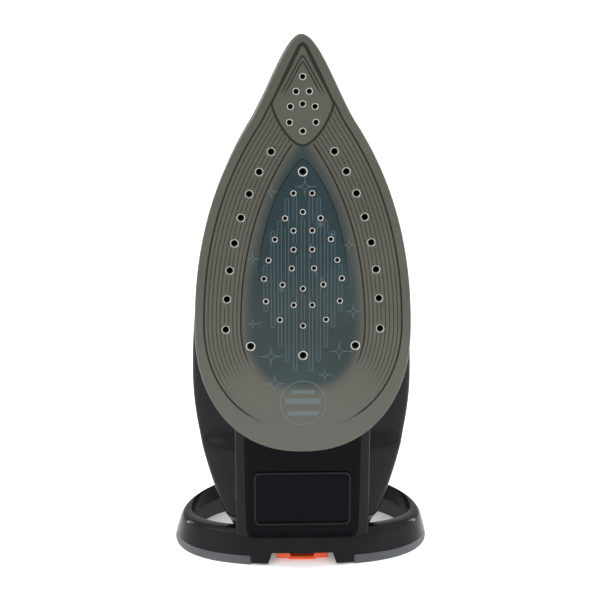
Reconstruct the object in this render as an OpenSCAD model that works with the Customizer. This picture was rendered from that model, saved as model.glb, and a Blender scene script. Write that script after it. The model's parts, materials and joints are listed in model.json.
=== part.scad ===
/* [Stance] */
// Backward lean of the sole while the iron stands on its heel
lean = 4; // [3.5:0.1:4.5]
// Height of the sole's rear end above the floor
sole_z = 77.3; // [77:0.1:78.5]

/* [Sole] */
// Width of the sole across its widest point
sole_w = 117.6; // [116:0.1:119]
// Length of the sole from its rear edge to its tip
sole_len = 230; // [229:0.1:233]
// Length of the rounded end that closes the rear of the sole
rear_len = 71; // [69:0.5:73]
// Thickness of the enamelled skin
skin_t = 1.2; // [1:0.1:1.5]
// Height of the casting's top face above the ironing face
cast_top = 12; // [12:0.1:12.3]
// Bore of the steam holes along both flanks
flank_bore = 3.1; // [2.6:0.1:3.2]
// Bore of the small steam holes in the middle field
field_bore = 1.6; // [1.2:0.1:1.8]
// Bore of the steam holes in the tip
tip_bore = 2.2; // [1.8:0.1:2.4]

/* [Body] */
// Wall thickness of the moulded shells
wall = 2.5; // [2:0.1:2.8]
// Height where the body starts, above the ironing face
body_base = 27; // [27:0.1:27.5]
// Place along the sole where the rear housing ends and the tank starts
tank_s = 82; // [81.5:0.1:83]

/* [Heel] */
// Width of the heel hoop on the floor
hoop_w = 149; // [147:0.5:150]
// Distance from the sole's rear edge plane to the hoop's front edge
hoop_front = 13.5; // [13:0.1:14]
// Distance from the same plane to the hoop's back edge
hoop_back = 110; // [109:0.5:112]
// Height of the hoop
hoop_h = 20; // [19:0.1:20]
// Height of the grey foot where it shows outside the hoop
foot_h = 5.2; // [4.8:0.1:5.6]
// Half width of the column that carries the rating plate
column_w = 38; // [37.5:0.1:38.3]

/* [Controls] */
// Radius of the temperature dial
dial_r = 26; // [24:0.5:26]
// Place of the dial's axis along the sole
dial_s = 52; // [51:0.5:53]
// Radius of the two push buttons
button_r = 7.5; // [7:0.1:7.6]
// Travel of the two push buttons
button_travel = 4; // [3:0.5:4]

/* [Hidden] */
$fn = 48;

fit = 0.05;                      // running clearance of shafts and plungers
gap = 0.3;                       // air between pieces that only stand next to each other
seal_t = 0.6;                    // thickness of the flat gaskets
cover_t = 1.5;                   // thickness of the steam chamber's cover
shield_t = 2.5;                  // thickness of the heat shield's walls
reach = 78.2;                    // half of the whole depth, which centres the origin
seam_h = body_base + 7;          // level of the tank's gasket
half_w = sole_w / 2;
rear_round = 2.22;               // exponent of the rounded rear end; 2 would be a half ellipse
sole_bend = [28.2, 183.7];       // where the flank turns in to the tip
cover_top = cast_top + seal_t + cover_t;

element_h = 8.2;                 // level of the heating element's axis
element_r = 3.5;
leg_r = 255;                     // bend radius of the element's long legs
leg_x = -220.5;                  // centre of that bend across the sole
leg_s = 60;                      // and along it
bend_r = 13;                     // bend radius at the element's front
bend_s = leg_s + sqrt(pow(leg_r - bend_r, 2) - leg_x * leg_x);
leg_turn = atan((bend_s - leg_s) / -leg_x);
leg_back = 8;                    // angle by which the legs run on to the rear
pin_x = leg_x + leg_r * cos(leg_back);
pin_s = leg_s - leg_r * sin(leg_back);

valve_s = 143;                   // the steam valve and both pumps stand in this plane
pump_x = 11;
duct_s = 26;                     // steam inlet from the lime collector
filler_s = 190;
nozzle_h = 40;
collector_y = 40;                // the collector stands upright at this depth
collector_r = 7;
lens_s = 12;
gland_s = -14.8;                 // the cord inlet leaves the handle here
gland_h = 123.1;
gland_turn = 52;                 // its angle from the sole's long direction

// ---- curves ----

function bez(p, t) = pow(1 - t, 3) * p[0] + 3 * pow(1 - t, 2) * t * p[1]
    + 3 * (1 - t) * t * t * p[2] + pow(t, 3) * p[3];
function bez_slope(p, t) = 3 * (1 - t) * (1 - t) * (p[1] - p[0])
    + 6 * (1 - t) * t * (p[2] - p[1]) + 3 * t * t * (p[3] - p[2]);
function curve(p, n) = [for (i = [0:n]) bez(p, i / n)];
function spow(v, e) = sign(v) * pow(abs(v), e);
function flip(pts) = [for (i = [len(pts) - 1:-1:0]) [-pts[i].x, pts[i].y]];
function back(pts) = [for (i = [len(pts) - 1:-1:0]) pts[i]];

// Right flank of the sole from the rear edge to the tip, as [x, s]
sole_flank = concat(
    [for (a = [-90:10:-10]) [half_w * spow(cos(a), 2 / rear_round),
        rear_len + rear_len * spow(sin(a), 2 / rear_round)]],
    curve([[half_w, rear_len], [half_w, rear_len + 48.2], [46.5, 155.4], sole_bend], 8),
    [for (i = [1:8]) bez([sole_bend, [19.6, 197], [8.9, sole_len], [0, sole_len]], i / 8)]
);

// The sole's outline scaled to a half width and to its ends along s
function leaf(half, s0, s1) = let (
    side = [for (p = sole_flank) [p.x * 2 * half / sole_w, s0 + p.y * (s1 - s0) / sole_len]])
    concat(side, [for (i = [len(side) - 2:-1:1]) [-side[i].x, side[i].y]]);

// Half width of the body along s, and the height of its top, each as [s, value]
body_width = concat(
    curve([[-68, 36.5], [-66, 37], [-64, 37.4], [-62, 38]], 2),
    [for (i = [1:8]) bez([[-62, 38], [-20, 56.5], [12, 61.6], [35, 61.6]], i / 8)],
    [for (i = [1:8]) bez([[35, 61.6], [85, 61.6], [128, 52], [166, 34]], i / 8)],
    [for (i = [1:10]) bez([[166, 34], [185, 25], [216, 12], [216, 0]], i / 10)]
);
body_top = concat(
    curve([[-68, 68], [-45, 75], [-20, 77], [50, 77]], 6),
    [for (i = [1:8]) bez([[50, 77], [105, 77], [150, 72], [178, 58]], i / 8)],
    [for (i = [1:8]) bez([[178, 58], [196, 49], [215, 45], [216, 30]], i / 8)]
);
body_floor = [[-70, 31.5], [-55, 31.5], [-48, 24], [-6, 24], [0, body_base], [220, body_base]];
body_round = 2.6;                // exponent of the body's rounded section

// One closed section of the body at s, drawn in by an inset
function body_ring(s, inset) = let (
    w = lookup(s, body_width) - inset,
    low = lookup(s, body_floor) + inset,
    top = lookup(s, body_top) - inset,
    mid = low + min(9, (top - low) * 0.4))
    [for (j = [0:27]) let (a = j * 360 / 28, up = sin(a) > 0)
        [w * spow(cos(a), 2 / body_round),
         mid + (up ? top - mid : mid - low) * spow(sin(a), 2 / body_round), s]];

// The handle's centre line as [s, h]: up the rear post, along the grip, down the front post
handle_path = [
    [[-33, 58], [-34, 98], [-28, 131], [14, 132]],
    [[14, 132], [46, 132.7], [80, 134], [112, 131]],
    [[112, 131], [143, 128.5], [154, 112], [151, 62]]
];
// Half width and half thickness along the handle, by path position
handle_a = [[0, 30], [0.5, 24], [1, 17.5], [2, 17.5], [2.35, 22], [3, 26]];
handle_b = [[0, 25], [0.4, 19.8], [0.5, 18.8], [1, 14], [1.5, 13], [2, 14], [2.35, 17], [3, 23]];
handle_round = 2.4;

// Points of the handle's section at path position u, between two angles
function handle_arc(u, inset, a0, a1, n) = let (
    k = min(floor(u), 2), c = bez(handle_path[k], u - k),
    d = bez_slope(handle_path[k], u - k), t = d / norm(d),
    a = lookup(u, handle_a) - inset, b = lookup(u, handle_b) - inset)
    [for (j = [0:n]) let (
        q = a0 + (a1 - a0) * j / n, x = a * spow(cos(q), 2 / handle_round),
        r = b * spow(sin(q), 2 / handle_round))
        [x, c.y + r * t.x, c.x - r * t.y]];
function handle_ring(u, inset) = handle_arc(u, inset, 0, 345, 23);
// A shell's section between two angles: outer arc, then the inner arc back
function shell_ring(u, outer, inner, a0, a1) =
    concat(handle_arc(u, outer, a0, a1, 12), back(handle_arc(u, inner, a0, a1, 12)));

// Plan curves of the hoop, right half from front to back, as [x, y]
hoop_floor = concat(
    curve([[0, hoop_front], [56, hoop_front], [hoop_w / 2, 31], [hoop_w / 2, 58]], 9),
    [for (i = [1:9]) bez([[hoop_w / 2, 58], [hoop_w / 2, 80], [40, hoop_back], [0, hoop_back]], i / 9)]);
rim_x = 69.4;                    // half width of the hoop's upper rim
hoop_rim = concat(
    curve([[0, 20], [46, 20], [rim_x, 27], [rim_x, 46]], 9),
    [for (i = [1:9]) bez([[rim_x, 46], [rim_x, 70], [38, 107], [0, 107]], i / 9)]);
inner_x = 64;                    // half width of the opening
hoop_inner = concat(
    curve([[0, 26], [44, 26], [inner_x, 36], [inner_x, 52]], 9),
    [for (i = [1:9]) bez([[inner_x, 52], [inner_x, 76], [46, 98], [0, 98]], i / 9)]);

// A point of the hoop: station i, part of the way from outside to inside, at height z
function hoop_point(i, f, z) = let (
    outer = hoop_floor[i] + (hoop_rim[i] - hoop_floor[i]) * min(z, hoop_h) / hoop_h,
    p = outer + (hoop_inner[i] - outer) * f) [p.x, p.y, z];
function hoop_section(i, section) = [for (q = section) hoop_point(i, q[0], q[1])];
function mirrored(ring) = [for (p = ring) [-p.x, p.y, p.z]];

// Flank holes: both the spacing and the inward curve grow evenly towards the tip
function flank_hole(k) =
    [41.9 - 0.8 * k - 0.465 * k * (k - 1), 70.6 + 17.05 * k - 0.515 * k * (k - 1)];
flank_holes = [for (k = [0:7]) flank_hole(k)];
large_holes = [[0, 157.5], [28.5, 61.1], [0, 55.7]];
tip_holes = [[0, 208.1], [3.5, 200.3], [0, 193.7], [6.5, 192.3], [7, 183.9], [0, 179.2]];
field_holes = [
    [5, 145.8], [0, 135.6], [9.5, 132.2], [5, 125.4], [15, 120.6], [5, 115], [18.5, 109.1], [6, 104.6],
    [21, 98.9], [11, 95.5], [0, 93.3], [20, 86.3], [5, 84.1], [12.5, 75.9], [0, 72.5]
];

// ---- frames and helpers ----

// The iron's own frame: x across, y away from the ironing face, z along the sole to the tip
module stand() { translate([0, -reach, sole_z]) rotate([-lean, 0, 0]) children(); }
// The floor's frame: y away from the sole's rear edge, z up
module floor_frame() { translate([0, -reach, 0]) children(); }
// An outline in [x, s], extruded between two heights above the ironing face
module slab(h0, h1) { translate([0, h1, 0]) rotate([90, 0, 0]) linear_extrude(h1 - h0) children(); }
// A round bar standing on the sole at x, s, between two heights
module bar(x, s, r, h0, h1) { translate([x, h1, s]) rotate([90, 0, 0]) cylinder(r = r, h = h1 - h0); }
module both_sides(x) {
    children();
    if (x > 0) mirror([1, 0, 0]) children();
}
module block(x, h, s) { translate([x[0], h[0], s[0]]) cube([x[1] - x[0], h[1] - h[0], s[1] - s[0]]); }

// A solid through a list of rings of equal length
module skin(rings) {
    n = len(rings[0]);
    m = len(rings);
    polyhedron([for (r = rings) each r], concat(
        [[for (j = [0:n - 1]) j]],
        [for (i = [0:m - 2], j = [0:n - 1], side = [0, 1]) let (k = (j + 1) % n)
            side == 0 ? [i * n + j, (i + 1) * n + j, (i + 1) * n + k]
                      : [i * n + j, (i + 1) * n + k, i * n + k]],
        [[for (j = [n - 1:-1:0]) (m - 1) * n + j]]), convexity = 6);
}
// The same, open at both ends with a wall between outer and inner rings
module tube_skin(outer, inner) {
    n = len(outer[0]);
    m = len(outer);
    o = n * m;
    polyhedron([for (r = concat(outer, inner)) each r], concat(
        [for (i = [0:m - 2], j = [0:n - 1], side = [0:3]) let (k = (j + 1) % n)
            side == 0 ? [i * n + j, (i + 1) * n + j, (i + 1) * n + k]
            : side == 1 ? [i * n + j, (i + 1) * n + k, i * n + k]
            : side == 2 ? [o + i * n + j, o + (i + 1) * n + k, o + (i + 1) * n + j]
            : [o + i * n + j, o + i * n + k, o + (i + 1) * n + k]],
        [for (j = [0:n - 1], side = [0:3]) let (k = (j + 1) % n, e = (m - 1) * n)
            side == 0 ? [j, k, o + k] : side == 1 ? [j, o + k, o + j]
            : side == 2 ? [e + k, e + j, o + e + j] : [e + k, o + e + j, o + e + k]]),
        convexity = 8);
}
// A solid carried round the hoop between two stations of the right half and back on the left
module hoop_skin(section, from) {
    right = [for (i = [from:18]) hoop_section(i, section)];
    left = [for (i = [17:-1:from]) mirrored(hoop_section(i, section))];
    skin(concat(right, left));
}
module hoop_ring(section) {
    right = [for (i = [0:18]) hoop_section(i, section)];
    left = [for (i = [17:-1:1]) mirrored(hoop_section(i, section))];
    rings = concat(right, left);
    n = len(section);
    m = len(rings);
    polyhedron([for (r = rings) each r],
        [for (i = [0:m - 1], j = [0:n - 1], side = [0, 1]) let (k = (j + 1) % n, p = (i + 1) % m)
            side == 0 ? [i * n + j, p * n + j, p * n + k] : [i * n + j, p * n + k, i * n + k]],
        convexity = 6);
}
module body_solid(stations, inset) { skin([for (s = stations) body_ring(s, inset)]); }
module steam_holes(h0, h1) {
    for (p = flank_holes) both_sides(p.x) bar(p.x, p.y, flank_bore / 2, h0, h1);
    for (p = large_holes) both_sides(p.x) bar(p.x, p.y, flank_bore / 2, h0, h1);
    for (p = tip_holes) both_sides(p.x) bar(p.x, p.y, tip_bore / 2, h0, h1);
    for (p = field_holes) both_sides(p.x) bar(p.x, p.y, field_bore / 2, h0, h1);
}
// A round rod through a list of points, with a ball at each bend
module rod_through(pts, r) {
    for (i = [0:len(pts) - 2]) let (d = pts[i + 1] - pts[i])
        translate(pts[i]) rotate([0, acos(d.z / norm(d)), atan2(d.y, d.x)])
            cylinder(r = r, h = norm(d), $fn = 24);
    for (i = [1:1:len(pts) - 2]) translate(pts[i]) sphere(r = r * 1.03, $fn = 24);
}

housing_stations = [-68, -64, -60, -55, -51.5, -48, -41, -33, -22, -12, -6, 0, 15, 30, 45, 62, tank_s - 0.1];
tank_stations = [tank_s + 0.1, 95, 110, 125, 140, 155, 168, 180, 190, 199, 206, 211, 214];

// ---- sole and steam ----

module element_bar(r) {
    both_sides(1) translate([leg_x, element_h, leg_s]) rotate([90, 0, 0]) rotate([0, 0, -leg_back])
        rotate_extrude(angle = leg_turn + leg_back, $fn = 180) translate([leg_r, 0]) circle(r, $fn = 24);
    translate([0, element_h, bend_s]) rotate([90, 0, 0]) rotate([0, 0, leg_turn])
        rotate_extrude(angle = 180 - 2 * leg_turn) translate([bend_r, 0]) circle(r, $fn = 24);
    both_sides(1) translate([bend_r * cos(leg_turn), element_h, bend_s + bend_r * sin(leg_turn)])
        sphere(r = r * 1.03, $fn = 24);
}
module sole_skin() {
    color("#77726a") stand() difference() {
        slab(0, skin_t) polygon(leaf(sole_w / 2, 0, sole_len));
        steam_holes(-1, skin_t + 1);
    }
}
screw_spots = [[51.9, 71], [16, 13.7]];
module sole_casting() {
    color("#a9abad") stand() difference() {
        slab(skin_t, cast_top) polygon(leaf(sole_w / 2 - 1, 1, sole_len - 1.7));
        steam_holes(0, cast_top + 1);
        slab(cast_top - 6, cast_top + 1) polygon(leaf(25.5, 62, 166));
        element_bar(element_r + fit);
        for (p = screw_spots) both_sides(p.x) bar(p.x, p.y, 1.5, cast_top - 4, cast_top + 1);
    }
}
module heating_element() { color("#8d8577") stand() element_bar(element_r); }
module element_terminals() {
    color("#c9c4b8") stand() both_sides(1) {
        bar(pin_x, pin_s, 1.6, cast_top, 23);
        bar(pin_x, pin_s, 2.6, cast_top + 0.2, 17);
    }
}
module chamber_seal() {
    color("#b5482f") stand() slab(cast_top, cast_top + seal_t) difference() {
        polygon(leaf(50, 16, 219));
        polygon(leaf(46.5, 20, 214));
    }
}
module chamber_cover() {
    color("#b9bcbf") stand() difference() {
        slab(cast_top + seal_t, cover_top) polygon(leaf(50, 16, 219));
        bar(0, valve_s, 2.2, cast_top, cover_top + 1);
        bar(0, duct_s, 2.4, cast_top, cover_top + 1);
    }
}
module thermostat() {
    color("#d8d2c4") stand() difference() {
        union() {
            bar(0, dial_s, 11, cover_top, 21);
            block([-17, 17], [cover_top, cover_top + 1.5], [dial_s - 4, dial_s + 4]);
        }
        bar(0, dial_s, 2.5 + fit, 18, 22);
    }
}
module thermal_fuse() {
    color("#c8b27a") stand() {
        translate([-12, cover_top + 3.2, 86]) rotate([0, 90, 0]) cylinder(r = 2.6, h = 24);
        block([-5, 5], [cover_top, cover_top + 1.5], [82, 90]);
    }
}
module heat_shield() {
    color("#17191b") stand() difference() {
        slab(cast_top, body_base) polygon(leaf(56.5, 3, 227));
        slab(cast_top - 1, body_base - shield_t) polygon(leaf(56.5 - shield_t, 3 + shield_t, 222));
        bar(0, dial_s, 3, 20, 30);
        bar(0, valve_s, 5.4, 20, 30);
        bar(0, duct_s, 3.3, 20, 30);
        for (side = [-1, 1]) bar(side * pump_x, valve_s + 16, 2.4, 20, 30);
        both_sides(1) bar(pin_x, pin_s, 3.2, 20, 30);
        for (p = screw_spots) both_sides(p.x) {
            bar(p.x, p.y, 1.7, 20, 30);
            bar(p.x, p.y, 2.95, body_base - 1.5, 30);
        }
    }
}
module shield_screws() {
    color("#b7b7b2") stand() for (p = screw_spots) both_sides(p.x) {
        bar(p.x, p.y, 1.45, cast_top - 3.8, body_base - 1);
        bar(p.x, p.y, 2.8, body_base - 1.5, body_base);
    }
}

// ---- water tank, filler and spray ----

module tank_hollow() {
    difference() {
        body_solid(tank_stations, 0);
        body_solid([tank_s + wall, 95, 110, 125, 140, 155, 168, 180, 190, 199, 206, 211], wall);
    }
}
module tank_base() {
    color("#1c2226") stand() difference() {
        tank_hollow();
        block([-70, 70], [seam_h - seal_t / 2, 90], [70, 230]);
        bar(0, valve_s, 5, 20, 40);
        for (side = [-1, 1]) bar(side * pump_x, valve_s + 16, 2.4, 20, 40);
    }
}
module tank_gasket() {
    color("#55595c") stand() slab(seam_h - seal_t / 2, seam_h + seal_t / 2) difference() {
        polygon([for (s = tank_stations) [lookup(s, body_width) - 0.6, s],
                 for (s = back(tank_stations)) [0.6 - lookup(s, body_width), s]]);
        polygon([for (s = [tank_s + wall, 110, 140, 168, 190, 206, 211]) [lookup(s, body_width) - wall, s],
                 for (s = [211, 206, 190, 168, 140, 110, tank_s + wall]) [wall - lookup(s, body_width), s]]);
    }
}
door_tilt = 27;                  // slope of the body's top under the fill door
door_front = 20;                 // length of the door in front of its pin
pin_h = 62;                      // height of the door's pin above the ironing face
pin_place = 180;                 // and its place along the sole
// The door's own frame: origin on the pin, z along the door towards its front
module door_frame() { translate([0, pin_h, pin_place]) rotate([door_tilt, 0, 0]) children(); }
module tank_top() {
    color("#31424d") stand() difference() {
        union() {
            tank_hollow();
            for (side = [-1, 1]) block([side * 10.5 - 1.5, side * 10.5 + 1.5], [54, pin_h + 2],
                [pin_place - 2.5, pin_place + 2.5]);
        }
        block([-70, 70], [0, seam_h + seal_t / 2], [70, 230]);
        bar(0, filler_s, 8.5, 40, 70);
        bar(0, valve_s, 1.5 + fit, 60, 80);
        bar(-pump_x, valve_s, 2, 60, 80);
        bar(pump_x, valve_s, 2, 60, 80);
        translate([0, nozzle_h, 200]) cylinder(r = 4, h = 30);
        translate([-20, pin_h, pin_place]) rotate([0, 90, 0]) cylinder(r = 1.5, h = 40);
    }
}
module filler_neck() {
    color("#20262a") stand() difference() {
        bar(0, filler_s, 8.45, 43, 54.5);
        bar(0, filler_s, 6.8, 42, 60);
        translate([0, 54.5, filler_s]) rotate([door_tilt, 0, 0])
            block([-15, 15], [-1.5, 18.5], [-15, 15]);
    }
}
module fill_door() {
    color("#2b3a44") stand() door_frame() difference() {
        union() {
            rotate([0, 90, 0]) cylinder(r = 2.3, h = 17, center = true);
            block([-8, 8], [-1.6, 0.8], [0, 5]);
            intersection() {
                block([-11.5, 11.5], [-1.6, 0.8], [4.4, 30]);
                translate([0, 0, door_front - 11.5]) rotate([90, 0, 0])
                    cylinder(r = 15, h = 10, center = true);
            }
        }
        rotate([0, 90, 0]) cylinder(r = 1.5 + fit, h = 30, center = true);
    }
}
module door_pin() {
    color("#c4c6c8") stand() translate([0, pin_h, pin_place]) rotate([0, 90, 0])
        cylinder(r = 1.5, h = 24, center = true);
}
module spray_nozzle() {
    color("#101214") stand() difference() {
        translate([0, nozzle_h, 206]) union() {
            cylinder(r = 4, h = 9);
            translate([0, 0, 9]) cylinder(r1 = 4.6, r2 = 3, h = 3);
        }
        translate([0, nozzle_h, 200]) cylinder(r = 0.6, h = 30);
    }
}
module spray_tube() {
    color("#8fa3ad") stand() rod_through([[0, nozzle_h, 205.8], [0, nozzle_h, 176],
        [-pump_x, nozzle_h, valve_s], [-pump_x, 83.8, valve_s]], 1.8);
}
module steam_tube() {
    color("#9c8f7a") stand() rod_through([[pump_x, 83.8, valve_s], [pump_x, 45, valve_s],
        [pump_x, 36, valve_s + 16], [pump_x, cover_top, valve_s + 16]], 1.8);
}
module valve_seat() {
    color("#b08d4a") stand() difference() {
        union() {
            bar(0, valve_s, 4.95, cover_top, body_base + wall + 0.1);
            bar(0, valve_s, 7, body_base + wall + 0.1, body_base + wall + 3);
        }
        bar(0, valve_s, 2.2, 10, 28);
        bar(0, valve_s, 2.6, 28, 40);
    }
}
module valve_rod() {
    color("#c9ccce") stand() {
        bar(0, valve_s, 1.5, 30, 122.5);
        bar(0, valve_s, 2.5, 29, 34);
        block([-1.5, 1.5], [120.8, 123.5], [118, valve_s]);
    }
}

// ---- pumps and controls ----

module pump(side) {
    difference() {
        union() {
            bar(side * pump_x, valve_s, 6, 84, 106);
            bar(side * pump_x, valve_s, 7, 84, 86);
        }
        bar(side * pump_x, valve_s, 4, 87, 110);
    }
}
module plunger(side) {
    bar(side * pump_x, valve_s, 4 - fit, 93, 99);
    bar(side * pump_x, valve_s, 2, 98, 125.2);
}
module coil(side, r, wire, h0, h1, turns) {
    steps = 16;
    rings = [for (i = [0:turns * steps]) let (q = i * 360 / steps, h = h0 + (h1 - h0) * i / (turns * steps))
        [for (j = [0:7]) let (w = j * 45, d = r + wire * cos(w))
            [side * pump_x + d * cos(q), h + wire * sin(w), valve_s + d * sin(q)]]];
    skin(rings);
}
module push_button(side) {
    difference() {
        bar(side * pump_x, valve_s, button_r, 125.2, 141);
        translate([side * pump_x, 148.5, valve_s + 4]) rotate([28, 0, 0])
            block([-10, 10], [-5, 15], [-15, 25]);
    }
}
module spray_pump() { color("#e4e4df") stand() pump(-1); }
module burst_pump() { color("#e4e4df") stand() pump(1); }
module spray_plunger() { color("#5f6b73") stand() plunger(-1); }
module burst_plunger() { color("#5f6b73") stand() plunger(1); }
module spray_spring() { color("#bfc3c6") stand() coil(-1, 4.2, 0.5, 107, 124.4, 5); }
module burst_spring() { color("#bfc3c6") stand() coil(1, 4.2, 0.5, 107, 124.4, 5); }
module spray_button() { color("#2a2f33") stand() push_button(-1); }
module burst_button() { color("#2a2f33") stand() push_button(1); }
lever_s = 119;                   // middle of the steam lever at its dry end
lever_travel = 8;
module steam_lever() {
    color("#d9572f") stand() {
        block([-7, 7], [145.4, 148.4], [lever_s - 3.5, lever_s + 3.5]);
        block([-2, 2], [126, 146], [lever_s - 2, lever_s + 2]);
    }
}

// ---- rear housing and heel ----

module rear_housing() {
    color("#1b1e20") {
        difference() {
            stand() body_solid(housing_stations, 0);
            stand() body_solid(concat([-65.5], [for (i = [1:15]) housing_stations[i]], [90]), wall);
            stand() bar(0, dial_s, 2.5 + fit, 60, 90);
            stand() bar(0, dial_s, 3, 20, 35);
            stand() bar(0, duct_s, 3.3, 20, 35);
            stand() both_sides(1) bar(pin_x, pin_s, 3.2, 20, 35);
            stand() bar(0, lens_s, 3, 60, 90);
            floor_frame() translate([0, collector_y, -5]) cylinder(r = 9.2, h = 25);
            floor_frame() block([-15.4, 15.4], [10, 50.5], [-5, 9.3]);
        }
    }
}
plate_w = 25.3;                  // half width of the blank rating plate
plate_z = [6.2, 35.8];           // its ends, measured up the column's face
plate_t = 0.6;
recess = 1.6;                    // depth of the column's middle behind its ribs
column_lean = 3.8;               // the column's face leans forward over the hoop
// The column's own frame: y into its face, z up along it
module column_frame() {
    floor_frame() translate([0, 16.6, hoop_h + gap]) rotate([column_lean, 0, 0]) children();
}
module heel_column() {
    color("#15181a") difference() {
        column_frame() block([-column_w, column_w], [0, 16], [0, 76]);
        column_frame() translate([0, recess, 0]) rotate([90, 0, 0]) linear_extrude(10)
            polygon([[-27, -1], [27, -1], [32, 20], [32.7, 80], [-32.7, 80], [-32, 20]]);
        column_frame() block([-plate_w - 0.1, plate_w + 0.1], [0, recess + plate_t],
            [plate_z[0] - 0.1, plate_z[1] + 0.1]);
        stand() block([-60, 60], [23.8, 60], [-90, 60]);
        stand() slab(-2, body_base) polygon(leaf(sole_w / 2 + 0.4, -0.4, sole_len));
        floor_frame() block([-60, 60], [-10, 60], [0, hoop_h + gap]);
    }
}
module rating_plate() {
    color("#1c2226") column_frame() block([-plate_w, plate_w], [recess, recess + plate_t], plate_z);
}
lining = 0.86;                   // where the foot's raised inner lip starts across the hoop
foot_start = 2;                  // hoop station where the grey foot starts on each side
foot_drop = 1.2;                 // the foot stands this far below the hoop
notch_h = 7.2;                   // height of the notch between the hoop's front blocks
module heel_hoop() {
    color("#1b1e20") floor_frame() difference() {
        hoop_ring([[0, foot_drop], [1, foot_drop], [1, hoop_h], [0, hoop_h]]);
        hoop_skin([[-0.3, -1], [1.3, -1], [1.3, 10], [lining, 10], [lining, foot_h], [-0.3, foot_h]],
            foot_start);
        rotate([90, 0, 0]) translate([0, 0, -40]) linear_extrude(40)
            polygon([[-20, -1], [20, -1], [17.4, notch_h], [-17.4, notch_h]]);
    }
}
module heel_foot() {
    color("#6f7173") floor_frame()
        hoop_skin([[0.04, 0], [1, 0], [1, 9.9], [lining + 0.01, 9.9], [lining + 0.01, foot_h - 0.05],
            [0.04, foot_h - 0.05]], foot_start);
}

// ---- lime collector ----

module collector_sleeve() {
    color("#8d8f90") floor_frame() translate([0, collector_y, 0]) difference() {
        translate([0, 0, 9.6]) cylinder(r = 9, h = 64);
        translate([0, 0, 9]) cylinder(r = collector_r + fit, h = 60);
        translate([0, 0, 60]) cylinder(r = 2.4, h = 20);
    }
}
duct_h = 40.1;
module collector_duct() {
    color("#8d8f90") stand() difference() {
        rod_through([[0, duct_h, -0.2], [0, duct_h, duct_s], [0, cover_top, duct_s]], 3);
        rod_through([[0, duct_h, -1], [0, duct_h, duct_s], [0, cover_top - 1, duct_s]], 2);
    }
}
module collector_cap() {
    color("#ee5a2e") floor_frame() difference() {
        union() {
            block([-14.9, 14.9], [21, 50], [1.7, notch_h - 0.5]);
            block([-14.9, 14.9], [26.8, 50], [4, 8.6]);
            block([-7.5, 7.5], [21, 50], [0.7, 2]);
        }
        block([-7, 7], [20, 26], [2.4, 9]);
    }
}
module collector_cartridge() {
    color("#d6d2c6") floor_frame() translate([0, collector_y, 0]) difference() {
        union() {
            translate([0, 0, 8.6]) cylinder(r = collector_r, h = 49);
            translate([0, 0, 62]) cylinder(r = collector_r, h = 5);
            translate([0, 0, 57]) cylinder(r = 5.2, h = 5.5);
        }
        for (i = [0:3]) translate([0, 0, 18 + 9 * i]) rotate([0, 0, 90 * (i % 2)])
            translate([-10, -2.5, 0]) cube([20, 5, 6]);
    }
}
module collector_seal() {
    color("#a8442c") floor_frame() translate([0, collector_y, 59.8])
        rotate_extrude() translate([6.15, 0]) circle(0.85, $fn = 24);
}

// ---- dial, lamp and electrics ----

module dial_bezel() {
    color("#3a3f43") stand() difference() {
        bar(0, dial_s, 29, 70, 80.5);
        body_solid(concat(housing_stations, [90]), -fit);
        bar(0, dial_s, 23, 60, 90);
    }
}
module dial() {
    color("#24282b") stand() difference() {
        union() {
            bar(0, dial_s, dial_r, 80.8, 86.5);
            bar(0, dial_s, 20, 86.5, 88);
        }
        for (q = [0:15:345]) translate([dial_r * cos(q), 88, dial_s + dial_r * sin(q)])
            rotate([90, 0, 0]) cylinder(r = 1.1, h = 8, $fn = 16);
        bar(0, dial_s, 2.5, 78, 86);
    }
}
module dial_shaft() { color("#b7b7b2") stand() bar(0, dial_s, 2.5, 18.5, 86); }
module indicator_lens() {
    color("#e8803a") stand() {
        bar(0, lens_s, 3, 72, 78);
        bar(0, lens_s, 4, 70.5, 72);
    }
}
module control_board() {
    color("#2f6b45") stand() {
        block([-24, 24], [56, 57.6], [-40, -10]);
        for (x = [-16, 0, 14]) block([x - 5, x + 5], [57.6, 64], [-34, -22]);
    }
}
module terminal_block() {
    color("#d9d5c8") stand() difference() {
        block([-16, 16], [60, 70], [-4, 4]);
        for (x = [-10, 0, 10]) translate([x, 65, -10]) cylinder(r = 2, h = 30);
    }
}
module inner_leads() {
    color("#c9b24a") stand() both_sides(1)
        rod_through([[pin_x, 23.1, pin_s], [pin_x, 50, pin_s], [24, 65, 0], [16.1, 65, 0]], 1.4);
}

// ---- handle ----

module rear_post() {
    color("#1b1e20") stand() difference() {
        tube_skin([for (i = [1:9]) handle_ring(i / 10, 0)], [for (i = [1:9]) handle_ring(i / 10, wall)]);
        body_solid(housing_stations, -fit);
        gland_frame() cylinder(r = 8, h = 40);
    }
}
module grip_upper() {
    color("#1b1e20") stand() skin([for (i = [0:10]) shell_ring(0.905 + 1.09 * i / 10, 0, wall, -8, 188)]);
}
module grip_lower() {
    color("#23282b") stand()
        skin([for (i = [0:10]) shell_ring(0.905 + 1.09 * i / 10, 1.2, wall + 0.8, 189, 351)]);
}
module grip_inlay() {
    color("#3b4044") stand() skin([for (i = [0:10]) shell_ring(0.95 + 1.0 * i / 10, 0, 1.1, 200, 340)]);
}
module front_post() {
    color("#1b1e20") stand() difference() {
        tube_skin([for (i = [0:10]) handle_ring(2 + i / 10, 0)],
            [for (i = [0:10]) handle_ring(2 + i / 10, wall)]);
        body_solid(tank_stations, -fit);
        for (side = [-1, 1]) bar(side * pump_x, valve_s, button_r + gap, 120, 160);
        block([-2.3, 2.3], [130, 160], [lever_s - 4, lever_s + lever_travel + 4]);
    }
}
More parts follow.
